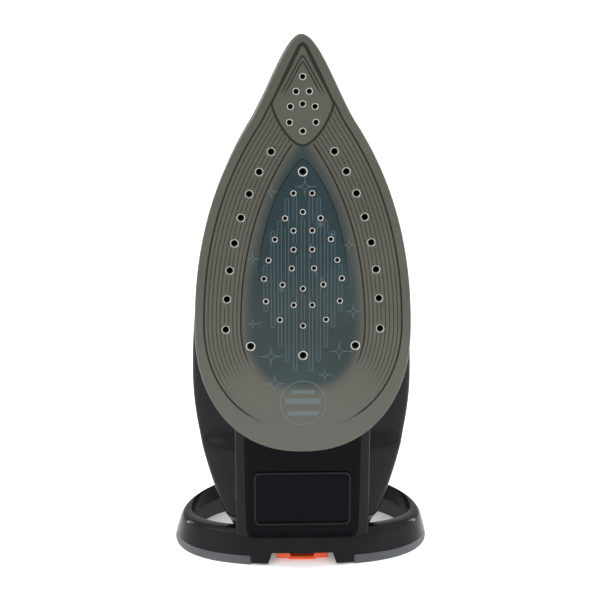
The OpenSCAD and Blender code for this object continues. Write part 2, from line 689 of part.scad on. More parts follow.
// The inlet's own frame: z points out along the cord's way
module gland_frame() { translate([0, gland_h, gland_s]) rotate([gland_turn - 180, 0, 0]) children(); }
module cord_gland() {
    color("#26292b") stand() gland_frame() difference() {
        union() {
            translate([0, 0, 8]) cylinder(r = 7.9, h = 14);
            translate([0, 0, 19]) cylinder(r1 = 9.5, r2 = 7, h = 7);
        }
        translate([0, 0, 5]) cylinder(r = 3.9, h = 30);
    }
}
module cord_clamp() {
    color("#e4e4df") stand() gland_frame() difference() {
        block([-9, 9], [-5, 5], [-2, 4.5]);
        translate([0, 0, -5]) cylinder(r = 3.9, h = 30);
    }
}
module clamp_screws() {
    color("#b7b7b2") stand() gland_frame() both_sides(1) translate([6.5, 0, 4.5]) cylinder(r = 1.7, h = 1.6);
}

sole_skin();
sole_casting();
heating_element();
element_terminals();
chamber_seal();
chamber_cover();
thermostat();
thermal_fuse();
heat_shield();
shield_screws();
tank_base();
tank_gasket();
tank_top();
filler_neck();
fill_door();
door_pin();
spray_nozzle();
spray_tube();
steam_tube();
valve_seat();
valve_rod();
spray_pump();
burst_pump();
spray_plunger();
burst_plunger();
spray_spring();
burst_spring();
spray_button();
burst_button();
steam_lever();
rear_housing();
heel_column();
rating_plate();
heel_hoop();
heel_foot();
collector_sleeve();
collector_duct();
collector_cap();
collector_cartridge();
collector_seal();
dial_bezel();
dial();
dial_shaft();
indicator_lens();
control_board();
terminal_block();
inner_leads();
rear_post();
grip_upper();
grip_lower();
grip_inlay();
front_post();
cord_gland();
cord_clamp();
clamp_screws();
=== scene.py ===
# %% [markdown]
# # A steam iron standing on its heel
# The iron stands upright on a ring-shaped heel, so its ironing face looks at us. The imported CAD
# model is loaded as a fixed frame: it says where every piece is and what it rides on. This lesson
# then gives each visible piece its finished surface, worked out with numpy, and its real finish.

# %% Load the frame
import json
import bpy
import bmesh
import numpy as np
from mathutils import Matrix, Vector
from mathutils.geometry import delaunay_2d_cdt


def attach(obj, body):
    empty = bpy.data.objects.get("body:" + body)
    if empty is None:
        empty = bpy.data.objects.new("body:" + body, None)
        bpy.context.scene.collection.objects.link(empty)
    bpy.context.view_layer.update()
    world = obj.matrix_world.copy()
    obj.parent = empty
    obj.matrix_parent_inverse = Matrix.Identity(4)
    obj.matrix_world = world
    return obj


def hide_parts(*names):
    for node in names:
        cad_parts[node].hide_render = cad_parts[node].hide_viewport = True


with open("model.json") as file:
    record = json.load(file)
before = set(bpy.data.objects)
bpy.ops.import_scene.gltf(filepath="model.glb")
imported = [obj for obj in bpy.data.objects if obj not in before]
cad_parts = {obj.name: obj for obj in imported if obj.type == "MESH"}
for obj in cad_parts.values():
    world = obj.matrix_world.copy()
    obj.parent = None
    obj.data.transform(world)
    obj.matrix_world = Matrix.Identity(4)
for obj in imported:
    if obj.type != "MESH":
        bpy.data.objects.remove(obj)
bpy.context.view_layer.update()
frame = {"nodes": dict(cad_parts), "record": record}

# %% [markdown]
# ## The iron's own frame
# An iron is designed lying on its sole. So we measure in millimetres along the sole (`s`, from its
# rear edge to the tip), away from the ironing face (`h`) and across (`x`). The record's mount on the
# ironing face says which way that face looks; its point lies 35 mm up the middle of the sole.

# %% Axes and placing
MM = 0.001
mounts = {m["name"]: m for m in frame["record"]["mounts"]}
ACROSS = np.array([1.0, 0.0, 0.0])
AWAY = -np.array(mounts["ironing_face"]["axis"])
ALONG = np.cross(ACROSS, AWAY)
face_point_s = 35.0
ORIGIN = np.array(mounts["ironing_face"]["pos_m"]) - face_point_s * MM * ALONG
print("sole's rear edge stands", round(ORIGIN[2] / MM, 1), "mm above the floor")


def place(x, s, h):
    """Points in metres from arrays of x, s and h in millimetres, in the iron's own frame."""
    x, s, h = np.broadcast_arrays(x, s, h)
    return ORIGIN + MM * (x[..., None] * ACROSS + s[..., None] * ALONG + h[..., None] * AWAY)


def on_floor(x, y, z):
    """Points in metres from x, the depth y behind the sole's rear edge, and the height z, all in mm."""
    x, y, z = np.broadcast_arrays(x, y, z)
    return np.stack([x * MM, ORIGIN[1] + y * MM, z * MM], axis=-1)


# %% [markdown]
# ## Camera
# A long lens a metre away, a little above the sole's middle and looking down, with hardly any turn.
# The lens keeps the tall face almost free of perspective.

# %% Camera
camera_tilt, camera_turn = np.radians(19.0), np.radians(-1.4)
camera_distance, aim_s, aim_x = 1.0, 87.0, -1.6
back = np.array([np.sin(camera_turn) * np.cos(camera_tilt),
                 -np.cos(camera_turn) * np.cos(camera_tilt), np.sin(camera_tilt)])
right = np.array([np.cos(camera_turn), np.sin(camera_turn), 0.0])
camera = bpy.data.objects.new("camera", bpy.data.cameras.new("camera"))
camera.data.lens, camera.data.sensor_width = 111.0, 36.0
camera.matrix_world = Matrix.Translation(place(aim_x, aim_s, 0.0) + camera_distance * back) @ Matrix(
    np.stack([right, np.cross(back, right), back], axis=1).tolist()).to_4x4()
bpy.context.scene.collection.objects.link(camera)
bpy.context.scene.camera = camera

# %% [markdown]
# ## Curves
# Moulded outlines are drawn with a few cubic curves. Each is four points; the formula weighs them by
# how far along the curve we are. A value that changes along the iron is read off such a curve.

# %% Curves


def bezier(points, n, first=0):
    """n + 1 points of the cubic (1-t)^3 P0 + 3(1-t)^2 t P1 + 3(1-t) t^2 P2 + t^3 P3, from step `first`."""
    t = (np.arange(first, n + 1) / n)[:, None]
    p = np.asarray(points, float)
    return (1 - t) ** 3 * p[0] + 3 * (1 - t) ** 2 * t * p[1] + 3 * (1 - t) * t ** 2 * p[2] + t ** 3 * p[3]


def along(curve, at):
    """The curve's second value where its first value is `at`."""
    return np.interp(at, curve[:, 0], curve[:, 1])


def power(v, e):
    """A power that keeps the sign, for rounded-square sections."""
    return np.sign(v) * np.abs(v) ** e


def smooth(v, lo, hi):
    """0 below lo, 1 above hi, and 3t^2 - 2t^3 between."""
    t = np.clip((v - lo) / (hi - lo), 0, 1)
    return t * t * (3 - 2 * t)


# %% [markdown]
# ## Making meshes
# Most pieces are one grid of points: rows along the piece and columns round it. The faces of such a
# grid are worked out as one array. A closed loop joins its last column to its first, and a cap is
# one many-sided face over an open end. Edges that bend by more than an angle stay crisp.

# %% Mesh helpers


def grid_faces(rows, cols, close_rows=False, close_cols=False):
    """Quads of a grid of points numbered row by row, as an array of four columns."""
    i = np.arange(rows if close_rows else rows - 1)[:, None]
    j = np.arange(cols if close_cols else cols - 1)[None, :]
    i2, j2 = (i + 1) % rows, (j + 1) % cols
    return np.stack([i * cols + j, i2 * cols + j, i2 * cols + j2, i * cols + j2], axis=-1).reshape(-1, 4)


def finish_mesh(name, points, faces, material, body="iron", replaces=(), slot=None, crisp=32.0,
                face_slots=None, values=None):
    """Makes the object, turns its faces outward, shades it smooth up to an angle, and rides it."""
    mesh = bpy.data.meshes.new(name)
    mesh.from_pydata(np.asarray(points).reshape(-1, 3).tolist(), [], [list(map(int, f)) for f in faces])
    if face_slots is not None:
        mesh.polygons.foreach_set("material_index", np.asarray(face_slots, np.int32))
    for key, value in (values or {}).items():
        mesh.attributes.new(key, "FLOAT", "POINT").data.foreach_set("value", np.asarray(value, np.float32))
    shape = bmesh.new()
    shape.from_mesh(mesh)
    bmesh.ops.remove_doubles(shape, verts=shape.verts, dist=2e-6)
    bmesh.ops.recalc_face_normals(shape, faces=shape.faces)
    shape.to_mesh(mesh)
    shape.free()
    mesh.shade_smooth()
    mesh.set_sharp_from_angle(angle=np.radians(crisp))
    for one in material if isinstance(material, (list, tuple)) else [material]:
        mesh.materials.append(one)
    piece = bpy.data.objects.new(name, mesh)
    bpy.context.scene.collection.objects.link(piece)
    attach(piece, body)
    if replaces:
        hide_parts(*replaces)
    print(f"{name}: {len(mesh.polygons)} faces")
    return piece


def skin(name, rows, material, close_rows=False, caps=True, **how):
    """A closed solid from rings of points: rows[i, j] is point j of ring i."""
    n, m = rows.shape[:2]
    faces = [*grid_faces(n, m, close_rows, True)]
    if caps and not close_rows:
        faces += [list(range(m)), list(range((n - 1) * m, n * m))]
    return finish_mesh(name, rows, faces, material, **how)


# %% [markdown]
# ## Materials
# A finish starts from its common name and how it was made. Its colours are written as hex values as
# a paint chart gives them, and turned to linear light by one function. Moulded plastic gets a faint
# colour mottle, a roughness that wanders a little, and a fine spark-eroded grain as bump.

# %% Material helpers


def linear(hex_colour, alpha=1.0):
    """An sRGB hex value as linear RGBA: v / 12.92 below 0.04045, else ((v + 0.055) / 1.055)^2.4."""
    v = np.array([int(hex_colour[i:i + 2], 16) / 255 for i in (1, 3, 5)])
    v = np.where(v <= 0.04045, v / 12.92, ((v + 0.055) / 1.055) ** 2.4)
    return (*v.tolist(), alpha)


def add(tree, kind, inputs=None, **settings):
    """Adds a node, sets its settings, and fills its inputs or links them to another node's output."""
    made = tree.nodes.new(kind)
    for key, value in settings.items():
        setattr(made, key, value)
    for key, value in (inputs or {}).items():
        if isinstance(value, bpy.types.NodeSocket):
            tree.links.new(value, made.inputs[key])
        else:
            made.inputs[key].default_value = value
    return made


def blank(name):
    """An empty material with its tree, Principled shader and object coordinates."""
    material = bpy.data.materials.new(name)
    material.use_nodes = True
    tree = material.node_tree
    shader = next(n for n in tree.nodes if n.type == "BSDF_PRINCIPLED")
    return material, tree, shader, add(tree, "ShaderNodeTexCoord").outputs["Object"]


def blend(tree, fac, first, second):
    """The second colour over the first, by fac."""
    return add(tree, "ShaderNodeMix", {"Factor": fac, 6: first, 7: second}, data_type="RGBA").outputs[2]


def ramp(tree, fac, lo, hi, colour_lo, colour_hi):
    """A colour that goes from one value to another as fac goes from lo to hi."""
    part = add(tree, "ShaderNodeMapRange", {"Value": fac, "From Min": lo, "From Max": hi})
    return blend(tree, part.outputs["Result"], colour_lo, colour_hi)


def finish(name, light, dark, rough=(0.3, 0.4), grain_mm=0.6, bump_mm=0.004, mottle_mm=9.0, **sockets):
    """Mottled colour between two chart values, wandering roughness and a fine grain as bump."""
    material, tree, shader, spot = blank(name)
    mottle = add(tree, "ShaderNodeTexNoise", {"Vector": spot, "Scale": 1 / (mottle_mm * MM), "Detail": 4.0})
    grain = add(tree, "ShaderNodeTexNoise", {"Vector": spot, "Scale": 1 / (grain_mm * MM), "Detail": 2.0})
    tree.links.new(ramp(tree, mottle.outputs["Fac"], 0.3, 0.7, linear(dark), linear(light)),
                   shader.inputs["Base Color"])
    wander = add(tree, "ShaderNodeMapRange", {"Value": mottle.outputs["Fac"], "From Min": 0.3, "From Max": 0.7,
                                              "To Min": rough[0], "To Max": rough[1]})
    tree.links.new(wander.outputs["Result"], shader.inputs["Roughness"])
    bump = add(tree, "ShaderNodeBump", {"Height": grain.outputs["Fac"], "Strength": 0.5,
                                        "Distance": bump_mm * MM})
    tree.links.new(bump.outputs["Normal"], shader.inputs["Normal"])
    for key, value in sockets.items():
        shader.inputs[key.replace("_", " ")].default_value = value
    return material


# %% Finishes of the shells
black_shell = finish("black_abs_satin", "#0e1214", "#0a0e10", (0.2, 0.27), 0.5, 0.0015, IOR=1.54,
                     Specular_IOR_Level=0.15)
# A darker, less shiny copy of the black shell: painted shade in the column's hollow.
black_hollow_painted_shade = finish("black_abs_painted_shade", "#06090c", "#04070a", (0.18, 0.24), 0.5, 0.001, IOR=1.54,
                      Specular_IOR_Level=0.05)
black_shield = finish("black_pbt_matt", "#121314", "#0d0e0f", (0.5, 0.62), 0.4, 0.01, IOR=1.55,
                      Specular_IOR_Level=0.3)
grey_foot = finish("grey_elastomer_matt", "#515457", "#484b4e", (0.55, 0.68), 0.35, 0.012, IOR=1.5,
                   Specular_IOR_Level=0.3)
soft_grip = finish("soft_touch_rubber", "#1f2224", "#191c1d", (0.6, 0.72), 0.5, 0.02, IOR=1.5,
                   Specular_IOR_Level=0.3)
orange_cap = finish("orange_abs_gloss", "#fb6230", "#f35a29", (0.26, 0.34), 0.5, 0.002, IOR=1.54,
                    Specular_IOR_Level=0.3)
# A dark red copy of the orange cap: painted shade for its finger recess.
orange_cap_painted_shade = finish("red_abs_shaded", "#8a1409", "#780f07", (0.35, 0.45), 0.5, 0.002, IOR=1.54,
                    Specular_IOR_Level=0.3)
cast_metal = finish("cast_aluminium_machined", "#77797a", "#6a6c6e", (0.34, 0.46), 0.25, 0.006, Metallic=1.0)
bare_rim = finish("bare_aluminium_chamfer", "#bab8b3", "#acaaa5", (0.3, 0.4), 0.2, 0.003, Metallic=1.0)
cast_edge = finish("cast_aluminium_as_cast", "#4e4f50", "#454647", (0.6, 0.75), 0.5, 0.02, Metallic=0.5)
# Near-black finish for the bores: painted shade on the bore walls, the inner halves of the countersinks and the cups
# in the bores.
bore_painted_shade = finish("bore_near_black_painted_shade", "#0c0c0c", "#060606", (0.6, 0.8), 0.3, 0.004)
print(len(bpy.data.materials), "finishes so far")

# %% [markdown]
# ## The sole's outline
# The sole is a leaf: a slightly squared ellipse at the rear, then a long flank that turns in to a rounded tip.
# One flank is sampled densely with its inward normals. Every inset line, such as the rounded edge or
# a groove, is that flank moved along its normals, and the other side is the same line mirrored.

# %% Outline of the sole
half_w, rear_len, sole_len, rear_power = 58.8, 71.0, 230.0, 2 / 2.22
skin_t, cast_top, shield_top = 1.2, 12.0, 27.0


def sole_flank(n=72):
    """Right flank from rear to tip: x = W cos^0.9, s = L + L sin^0.9, then two cubics; n steps for each."""
    a = np.radians(np.linspace(-90, 0, n + 1))
    rear = np.stack([half_w * power(np.cos(a).clip(0), rear_power),
                     rear_len + rear_len * power(np.sin(a), rear_power)], axis=1)
    side = bezier([[half_w, rear_len], [half_w, 119.2], [46.5, 155.4], [28.2, 183.7]], n, 1)
    tip = bezier([[28.2, 183.7], [19.6, 197], [8.9, sole_len], [0, sole_len]], n, 1)
    return np.concatenate([rear, side, tip])


def normals(line):
    """Unit normals to the left of a polyline: its central differences turned by a quarter."""
    d = np.gradient(line, axis=0)
    d /= np.linalg.norm(d, axis=1, keepdims=True)
    return np.stack([-d[:, 1], d[:, 0]], axis=1)


def mirror(line):
    """The same line on the other side, run backwards."""
    return line[::-1] * [-1, 1]


def whole(side):
    """A closed outline from its right side: the side, then its mirror image without the shared ends."""
    return np.concatenate([side, mirror(side)[1:-1]])


flank = sole_flank()
flank_in = normals(flank)
flank_in[0], flank_in[-1] = (0, 1), (0, -1)


def leaf(half, s0, s1, out=0.0):
    """The outline scaled to a half width and to its ends along s, then moved out along its normals."""
    side = flank * [half / half_w, (s1 - s0) / sole_len] + [0, s0]
    return whole(side - out * flank_in)


print("outline has", len(whole(flank)), "points")

# %% [markdown]
# ## What is cut and printed on the sole
# Steam leaves through countersunk bores. Ten fine grooves follow each flank and fade out at the rear,
# a dark moulded line frames the tip, and another draws a leaf in the middle. Faint light marks are
# printed in the bluish field: narrow pairs of lines and a few plain glints. A plain disc with a ring
# and blank bars stands where a maker would put a badge.

# %% Bores, grooves and lines
k = np.arange(8)
flank_spots = np.stack([41.9 - 0.8 * k - 0.465 * k * (k - 1), 70.6 + 17.05 * k - 0.515 * k * (k - 1)], axis=1)
large_spots = [[0, 157.5], [28.5, 61.1], [0, 55.7]]
tip_spots = [[0, 208.1], [3.5, 200.3], [0, 193.7], [6.5, 192.3], [7, 183.9], [0, 179.2]]
field_spots = [[5, 145.8], [0, 135.6], [9.5, 132.2], [5, 125.4], [15, 120.6], [5, 115], [18.5, 109.1],
               [6, 104.6], [21, 98.9], [11, 95.5], [0, 93.3], [20, 86.3], [5, 84.1], [12.5, 75.9], [0, 72.5]]


def bores(spots, bore, ring, depth):
    """Rows of x, s, bore radius, ring radius and chamfer depth, with the mirror image of each spot."""
    spots = np.asarray(spots, float)
    both = np.concatenate([spots, spots[spots[:, 0] > 0] * [-1, 1]])
    return np.concatenate([both, np.tile([bore / 2, ring / 2, depth], (len(both), 1))], axis=1)


holes = np.concatenate([bores(flank_spots, 3.1, 4.5, 0.45), bores(large_spots, 3.1, 5.2, 0.5),
                        bores(tip_spots, 2.2, 3.7, 0.45), bores(field_spots, 1.6, 3.2, 0.4)])
diamond = np.concatenate([bezier([[0, 225.2], [1.0, 225.2], [1.9, 223.6], [2.9, 221.5]], 6),
                          bezier([[2.9, 221.5], [7.6, 211.9], [12.0, 203.2], [16.4, 194.2]], 12, 1),
                          bezier([[16.4, 194.2], [16.0, 188.5], [7.2, 171.6], [0, 171.6]], 20, 1)])
middle_leaf = np.concatenate([bezier([[0, 164.3], [2.2, 164.3], [5.5, 159.5], [9, 154]], 8),
                              bezier([[9, 154], [17, 141], [24.4, 120], [24.9, 85]], 30, 1)])
chevrons = [bezier([[0, 219.1], [0.7, 219.1], [6.0, 208.9], [11.2, 199.6]], 12),
            bezier([[0, 215.9], [0.7, 215.9], [5.6, 206.1], [10.6, 197.0]], 12)]
groove_first, groove_step, groove_count = 5.1, 2.22, 10
groove_width = np.array([1.1] + [0.6] * (groove_count - 2) + [0.95])
groove_depth = 0.25
rear_drift = 7.5
line_pairs = [(0, 134.5, 60), (4.3, 143.8, 47.5), (8.5, 142.2, 53.2), (12.5, 130.2, 61.2),
              (16.3, 124.2, 72.6), (20.2, 105.5, 81.6)]
glints = [(1.1, 149.4, 5.2), (-16.7, 146.6, 3.8), (-27, 110, 3.6), (24.7, 117.3, 3.6), (-27.3, 73.8, 3.2),
          (27.3, 80.4, 4.1), (-17.6, 55.3, 5.9), (-15.5, 39.6, 5.9), (19.8, 57.8, 5.4), (11.9, 44.5, 3.4)]
disc_s, disc_r = 28.5, 12.5
print(len(holes), "bores")


def drift(s_edge):
    """How far the grooves leave the edge at the rear: 7.5 mm times the 1.5th power of the way to it."""
    return rear_drift * (np.clip(rear_len - s_edge, 0, None) / 65) ** 1.5


def fade(k, s_edge):
    """A groove's depth from 0 at the rear to 1; the outermost runs the furthest back."""
    lo = np.where(k == 0, 4.0, 20 + 1.5 * k)
    return smooth(s_edge, lo, lo + np.where(k == 0, 14, 24))


def glint(x, s, r):
    """A four-pointed star with hollow sides: x + r cos^5 a and s + r sin^5 a, both with their signs."""
    a = np.radians(np.arange(0, 361, 6))
    return np.stack([x + r * power(np.cos(a), 5), s + r * power(np.sin(a), 5)], axis=1)


# %% [markdown]
# ## One flat drawing becomes the sole's skin
# All these curves cut one flat drawing into triangles (a constrained Delaunay triangulation), so each
# line has its own vertices and stays crisp. Then every vertex gets its height from formulas: the
# rounded edge, the grooves and the countersinks. The same formulas give three values per vertex, for
# the dark lines, the light print and the bluish tint, which the enamel's material reads.

# %% Measuring in the drawing


def nearest(points, line):
    """For each point the distance to a polyline and the place along it, as point number plus part."""
    a, d = line[:-1], np.diff(line, axis=0)
    gap, at = [], []
    for some in np.array_split(points, max(1, len(points) * len(a) // 2_000_000)):
        t = np.clip(((some[:, None] - a) * d).sum(-1) / (d * d).sum(-1).clip(1e-12), 0, 1)
        far = np.linalg.norm(some[:, None] - a - t[..., None] * d, axis=-1)
        best = far.argmin(axis=1)
        gap.append(far[np.arange(len(some)), best])
        at.append(best + t[np.arange(len(some)), best])
    return np.concatenate(gap), np.concatenate(at)


class Drawing:
    """Points and edges to triangulate. A line keeps clear of the countersinks it would run through."""

    def __init__(self):
        self.points, self.edges, self.count = [], [], 0

    def line(self, line, closed=False, clear=0.15):
        keep = np.ones(len(line), bool)
        if clear:
            gap = np.linalg.norm(line[:, None] - holes[:, :2], axis=-1) - holes[:, 3]
            keep = gap.min(axis=1) > clear
        i = np.arange(len(line))
        j = (i + 1) % len(line)
        both = keep & keep[j] & (closed | (j > i))
        number = np.cumsum(keep) - 1 + self.count
        self.points.append(line[keep])
        self.edges.append(np.stack([number[i[both]], number[j[both]]], axis=1))
        self.count += int(keep.sum())

    def band(self, line, width, closed=False):
        """The line's two borders and, between them, its floor's two borders."""
        n = normals(line)
        for part in (-0.5, -0.3, 0.3, 0.5):
            self.line(line + n * width * part, closed)

    def triangles(self, inside=1):
        points, edges = np.concatenate(self.points), np.concatenate(self.edges)
        made = delaunay_2d_cdt([Vector(p) for p in points.tolist()], edges.tolist(), [], inside, 1e-5)
        return np.array([tuple(p) for p in made[0]]), [tuple(f) for f in made[2]]


drawing = Drawing()
edge_r, rim_insets = 1.0, (0.0, 0.13, 0.3, 0.5, 0.75, 1.0, 1.5)
for inset in rim_insets:
    side = flank + inset * flank_in
    side[[0, -1], 0] = 0
    drawing.line(whole(side), closed=True, clear=0)
a = np.radians(np.arange(0, 360, 15))
for x, s, bore, ring, _ in holes:
    for r in (bore, (bore + ring) / 2, ring):
        drawing.line(np.stack([x + r * np.cos(a), s + r * np.sin(a)], axis=1), closed=True, clear=0)

# %% Grooves, lines and print in the drawing


def in_diamond(p, grow=0.0):
    """Whether points lie inside the tip's framed field, grown by some mm."""
    edge = np.interp(p[:, 1], diamond[::-1, 1], diamond[::-1, 0], left=-9, right=-9)
    return np.abs(p[:, 0]) < edge + grow


diamond_line = np.concatenate([mirror(diamond)[:-1], diamond])
leaf_line = np.concatenate([mirror(middle_leaf)[:-1], middle_leaf])
body_of_flank = slice(4, None, 2)
for groove in range(groove_count):
    s_edge = flank[body_of_flank, 1]
    inset = groove_first + groove_step * groove + drift(s_edge)
    for part in (-0.5, -0.3, 0.3, 0.5):
        side = flank[body_of_flank] + flank_in[body_of_flank] * (inset + part * groove_width[groove])[:, None]
        keep = (fade(groove, s_edge) > 0) & (side[:, 1] < 194.6) & ~in_diamond(side, 0.75) & (side[:, 0] > 1)
        drawing.line(side[keep])
        drawing.line(mirror(side[keep]))
diamond_width = 1.55 + 1.2 * smooth(diamond_line[:, 1], 194, 214)
drawing.band(diamond_line, diamond_width[:, None])
drawing.band(leaf_line, 0.6)
for one in chevrons:
    drawing.band(np.concatenate([mirror(one)[:-1], one]), 0.75)
prints = []
turn = np.linspace(0, np.pi, 9)
for x, hi, lo in line_pairs:
    up = np.stack([np.full(24, 0.9), np.linspace(lo, hi, 24)], axis=1)
    over_top = np.stack([0.9 * np.cos(turn), hi + 0.9 * np.sin(turn)], axis=1)
    loop = np.concatenate([up, over_top[1:-1], up[::-1] * [-1, 1], (over_top * [-1, -1] + [0, hi + lo])[1:]])
    for side in ((-1, 1) if x else (1,)):
        prints.append(loop + [side * x, 0])
prints += [glint(*one) for one in glints]
a = np.radians(np.arange(0, 361, 5))
prints.append(np.stack([disc_r * np.cos(a), disc_s + disc_r * np.sin(a)], axis=1))
print_width = np.array([0.5] * (len(prints) - len(glints) - 1) + [0.5] * len(glints) + [0.8])
for one, width in zip(prints, print_width):
    for part in (-0.5, 0.0, 0.5):
        drawing.line(one + normals(one) * width * part)
bars = [(5.2, 7.4, 6.2), (-0.6, 2.6, 9.8), (-7.4, -4.6, 8.6)]
for lo, hi, half in bars:
    box = np.array([[-half, lo], [half, lo], [half, hi], [-half, hi]]) + [0, disc_s]
    drawing.line(box, closed=True, clear=0)
    drawing.line(box * [0.97, 1] + [0, 0.15] * np.array([[1], [1], [-1], [-1]]), closed=True, clear=0)
grid = np.stack(np.meshgrid(np.arange(-57, 58, 3.0), np.arange(3, 229, 3.0)), axis=-1).reshape(-1, 2)
grid[:, 0] += 0.37
edge_gap, _ = nearest(np.abs(grid) * [1, 1], flank)
inside = np.abs(grid[:, 0]) < np.interp(grid[:, 1], flank[:, 1], flank[:, 0])
apart = (np.linalg.norm(grid[:, None] - holes[:, :2], axis=-1) - holes[:, 3]).min(axis=1)
grid = grid[inside & (edge_gap > 2.5) & (apart > 0.8)]
drawing.points.append(grid)
drawing.count += len(grid)
flat, cells = drawing.triangles()
print("drawing:", len(flat), "vertices,", len(cells), "triangles")

# %% Heights and painted values of the sole
x_side = np.abs(flat[:, 0])
edge_gap, at = nearest(np.stack([x_side, flat[:, 1]], axis=1), flank)
s_edge = np.interp(at, np.arange(len(flank)), flank[:, 1])
free = ~in_diamond(flat, 0.35) & (flat[:, 1] < 195)

rise = np.where(edge_gap < edge_r, edge_r - np.sqrt(np.clip(edge_r ** 2 - (edge_r - edge_gap) ** 2, 0, None)), 0)
number = np.round((edge_gap - drift(s_edge) - groove_first) / groove_step).clip(0, groove_count - 1).astype(int)
off = np.abs(edge_gap - drift(s_edge) - groove_first - number * groove_step)
width = groove_width[number]
strength = np.where(np.isin(number, [0, groove_count - 1]), 1.0, 0.62)
ink = strength * (1 - smooth(off, 0.28 * width, 0.5 * width)) * fade(number, s_edge) * free


def line_value(line, width, strength=1.0):
    """1 on the line's floor, 0 beyond its borders; width and strength may change along it."""
    gap, at = nearest(flat, line)
    width = np.interp(at, np.arange(len(line)), np.broadcast_to(width, len(line)))
    return np.interp(at, np.arange(len(line)), np.broadcast_to(strength, len(line))) * (
        1 - smooth(gap, 0.28 * width, 0.5 * width))


ink = np.maximum(ink, line_value(diamond_line, diamond_width))
ink = np.maximum(ink, line_value(leaf_line, 0.6, 0.8 * smooth(leaf_line[:, 1], 84, 122)))
for one in chevrons:
    both = np.concatenate([mirror(one)[:-1], one])
    ink = np.maximum(ink, line_value(both, 0.75, 0.95 * smooth(both[:, 1], 195, 204)))
height = rise + groove_depth * ink

light = np.zeros(len(flat))
for one, width in zip(prints, print_width):
    gap, _ = nearest(flat, one)
    light = np.maximum(light, 1 - np.clip(gap / (width / 2), 0, 1))
for lo, hi, half in bars:
    x, s = np.abs(flat[:, 0]), flat[:, 1] - disc_s
    light = np.maximum(light, 0.8 * ((x <= 0.971 * half) & (s > lo + 0.14) & (s < hi - 0.14)))
disc = np.linalg.norm(flat - [0, disc_s], axis=1) < disc_r
band_inner = groove_first + groove_step * (groove_count - 1) + drift(s_edge)
tint = smooth(edge_gap - band_inner, -1.0, 6.5) * smooth(flat[:, 1], 12, 44) * ~in_diamond(flat)
leaf_side = np.interp(flat[:, 1], middle_leaf[::-1, 1], middle_leaf[::-1, 0], right=0)
tint = tint * (0.82 + 0.18 * (x_side < leaf_side) * smooth(flat[:, 1], 80, 115))

distance = np.linalg.norm(flat[:, None] - holes[:, :2], axis=-1) - holes[:, 3]
own = distance.argmin(axis=1)
part = np.clip(-distance.min(axis=1) / (holes[own, 3] - holes[own, 2]), 0, 1)
in_ring = distance.min(axis=1) < 1e-3
height = np.where(in_ring, holes[own, 4] * part, height)
ink, light = [np.where(in_ring, 0, v) for v in (ink, light)]
print("deepest countersink", height.max().round(2), "mm; grooves", groove_depth, "mm")

# %% The skin of the sole as a closed solid
corners = np.array(cells)
centre = flat[corners].mean(axis=1)
centre_gap = np.linalg.norm(centre[:, None] - holes[:, :2], axis=-1)
area = np.cross(flat[corners[:, 1]] - flat[corners[:, 0]], flat[corners[:, 2]] - flat[corners[:, 0]])
kept = (centre_gap > holes[:, 2] * 0.995).all(axis=1) & (np.abs(area) > 1e-7)
corners = corners[kept]
ring_face = (centre_gap[kept] < holes[:, 3]).any(axis=1)
# The inner half of each countersink is painted shade: it takes the near-black bore finish.
painted_shade_ring = (centre_gap[kept] < (holes[:, 2] + holes[:, 3]) / 2).any(axis=1)

ends = np.concatenate([corners[:, [0, 1]], corners[:, [1, 2]], corners[:, [2, 0]]])
both_ways = ends[:, 0] * len(flat) + ends[:, 1]
back_ways = ends[:, 1] * len(flat) + ends[:, 0]
border = ends[~np.isin(both_ways, back_ways)]
border_points = np.unique(border)
renumber = np.full(len(flat), -1)
renumber[border_points] = np.arange(len(border_points))
made = delaunay_2d_cdt([Vector(p) for p in flat[border_points].tolist()], renumber[border].tolist(), [], 1, 1e-6)
back_flat, back_cells = np.array([tuple(p) for p in made[0]]), np.array([tuple(f) for f in made[2]])
back_centre = back_flat[back_cells].mean(axis=1)
outside_bores = (np.linalg.norm(back_centre[:, None] - holes[:, :2], axis=-1) > holes[:, 2] * 0.995).all(axis=1)
back_cells = back_cells[outside_bores]
points = np.concatenate([place(flat[:, 0], flat[:, 1], height),
                         place(back_flat[:, 0], back_flat[:, 1], np.full(len(back_flat), skin_t))])
wall_ends = renumber[border] + len(flat)
walls = np.stack([border[:, 1], border[:, 0], wall_ends[:, 0], wall_ends[:, 1]], axis=1)
in_bore = nearest(np.abs(flat[border[:, 0]]), flank)[0] > 1
print("front", len(corners), "back", len(back_cells), "walls", len(walls))

# %% [markdown]
# ## The sole's enamel
# The sole is steel sprayed with a metallic enamel and fired: a warm grey with fine flakes under a
# clear gloss. The flakes are drawn 0.5 mm wide, coarser than real ones, so that they just show. The
# grooves are bare of gloss and dark, and the middle carries a thin bluish print that fades outward.

# %% Enamel and sole
enamel, tree, shader, spot = blank("fired_metallic_enamel")
cloud = add(tree, "ShaderNodeTexNoise", {"Vector": spot, "Scale": 1 / (28 * MM), "Detail": 3.0})
flake = add(tree, "ShaderNodeTexVoronoi", {"Vector": spot, "Scale": 1 / (0.5 * MM)})
grey = ramp(tree, cloud.outputs["Fac"], 0.3, 0.7, linear("#4b4b44"), linear("#515149"))
# Painted sheen: the grey turns lighter lower down, toward the sole's rear, in place of the glossy reflection that
# lights that end.
height_up = add(tree, "ShaderNodeSeparateXYZ", {"Vector": spot}).outputs["Z"]
painted_sheen_toward_rear = add(tree, "ShaderNodeMapRange", {"Value": height_up, "From Min": 0.17, "From Max": 0.08})
grey = blend(tree, painted_sheen_toward_rear.outputs["Result"], grey, linear("#55544f"))
sparkle = add(tree, "ShaderNodeMapRange", {"Value": flake.outputs["Distance"], "From Min": 0.0, "From Max": 0.6,
                                           "To Min": 0.1, "To Max": 0.0})
flaked = blend(tree, sparkle.outputs["Result"], grey, linear("#8d8a82"))


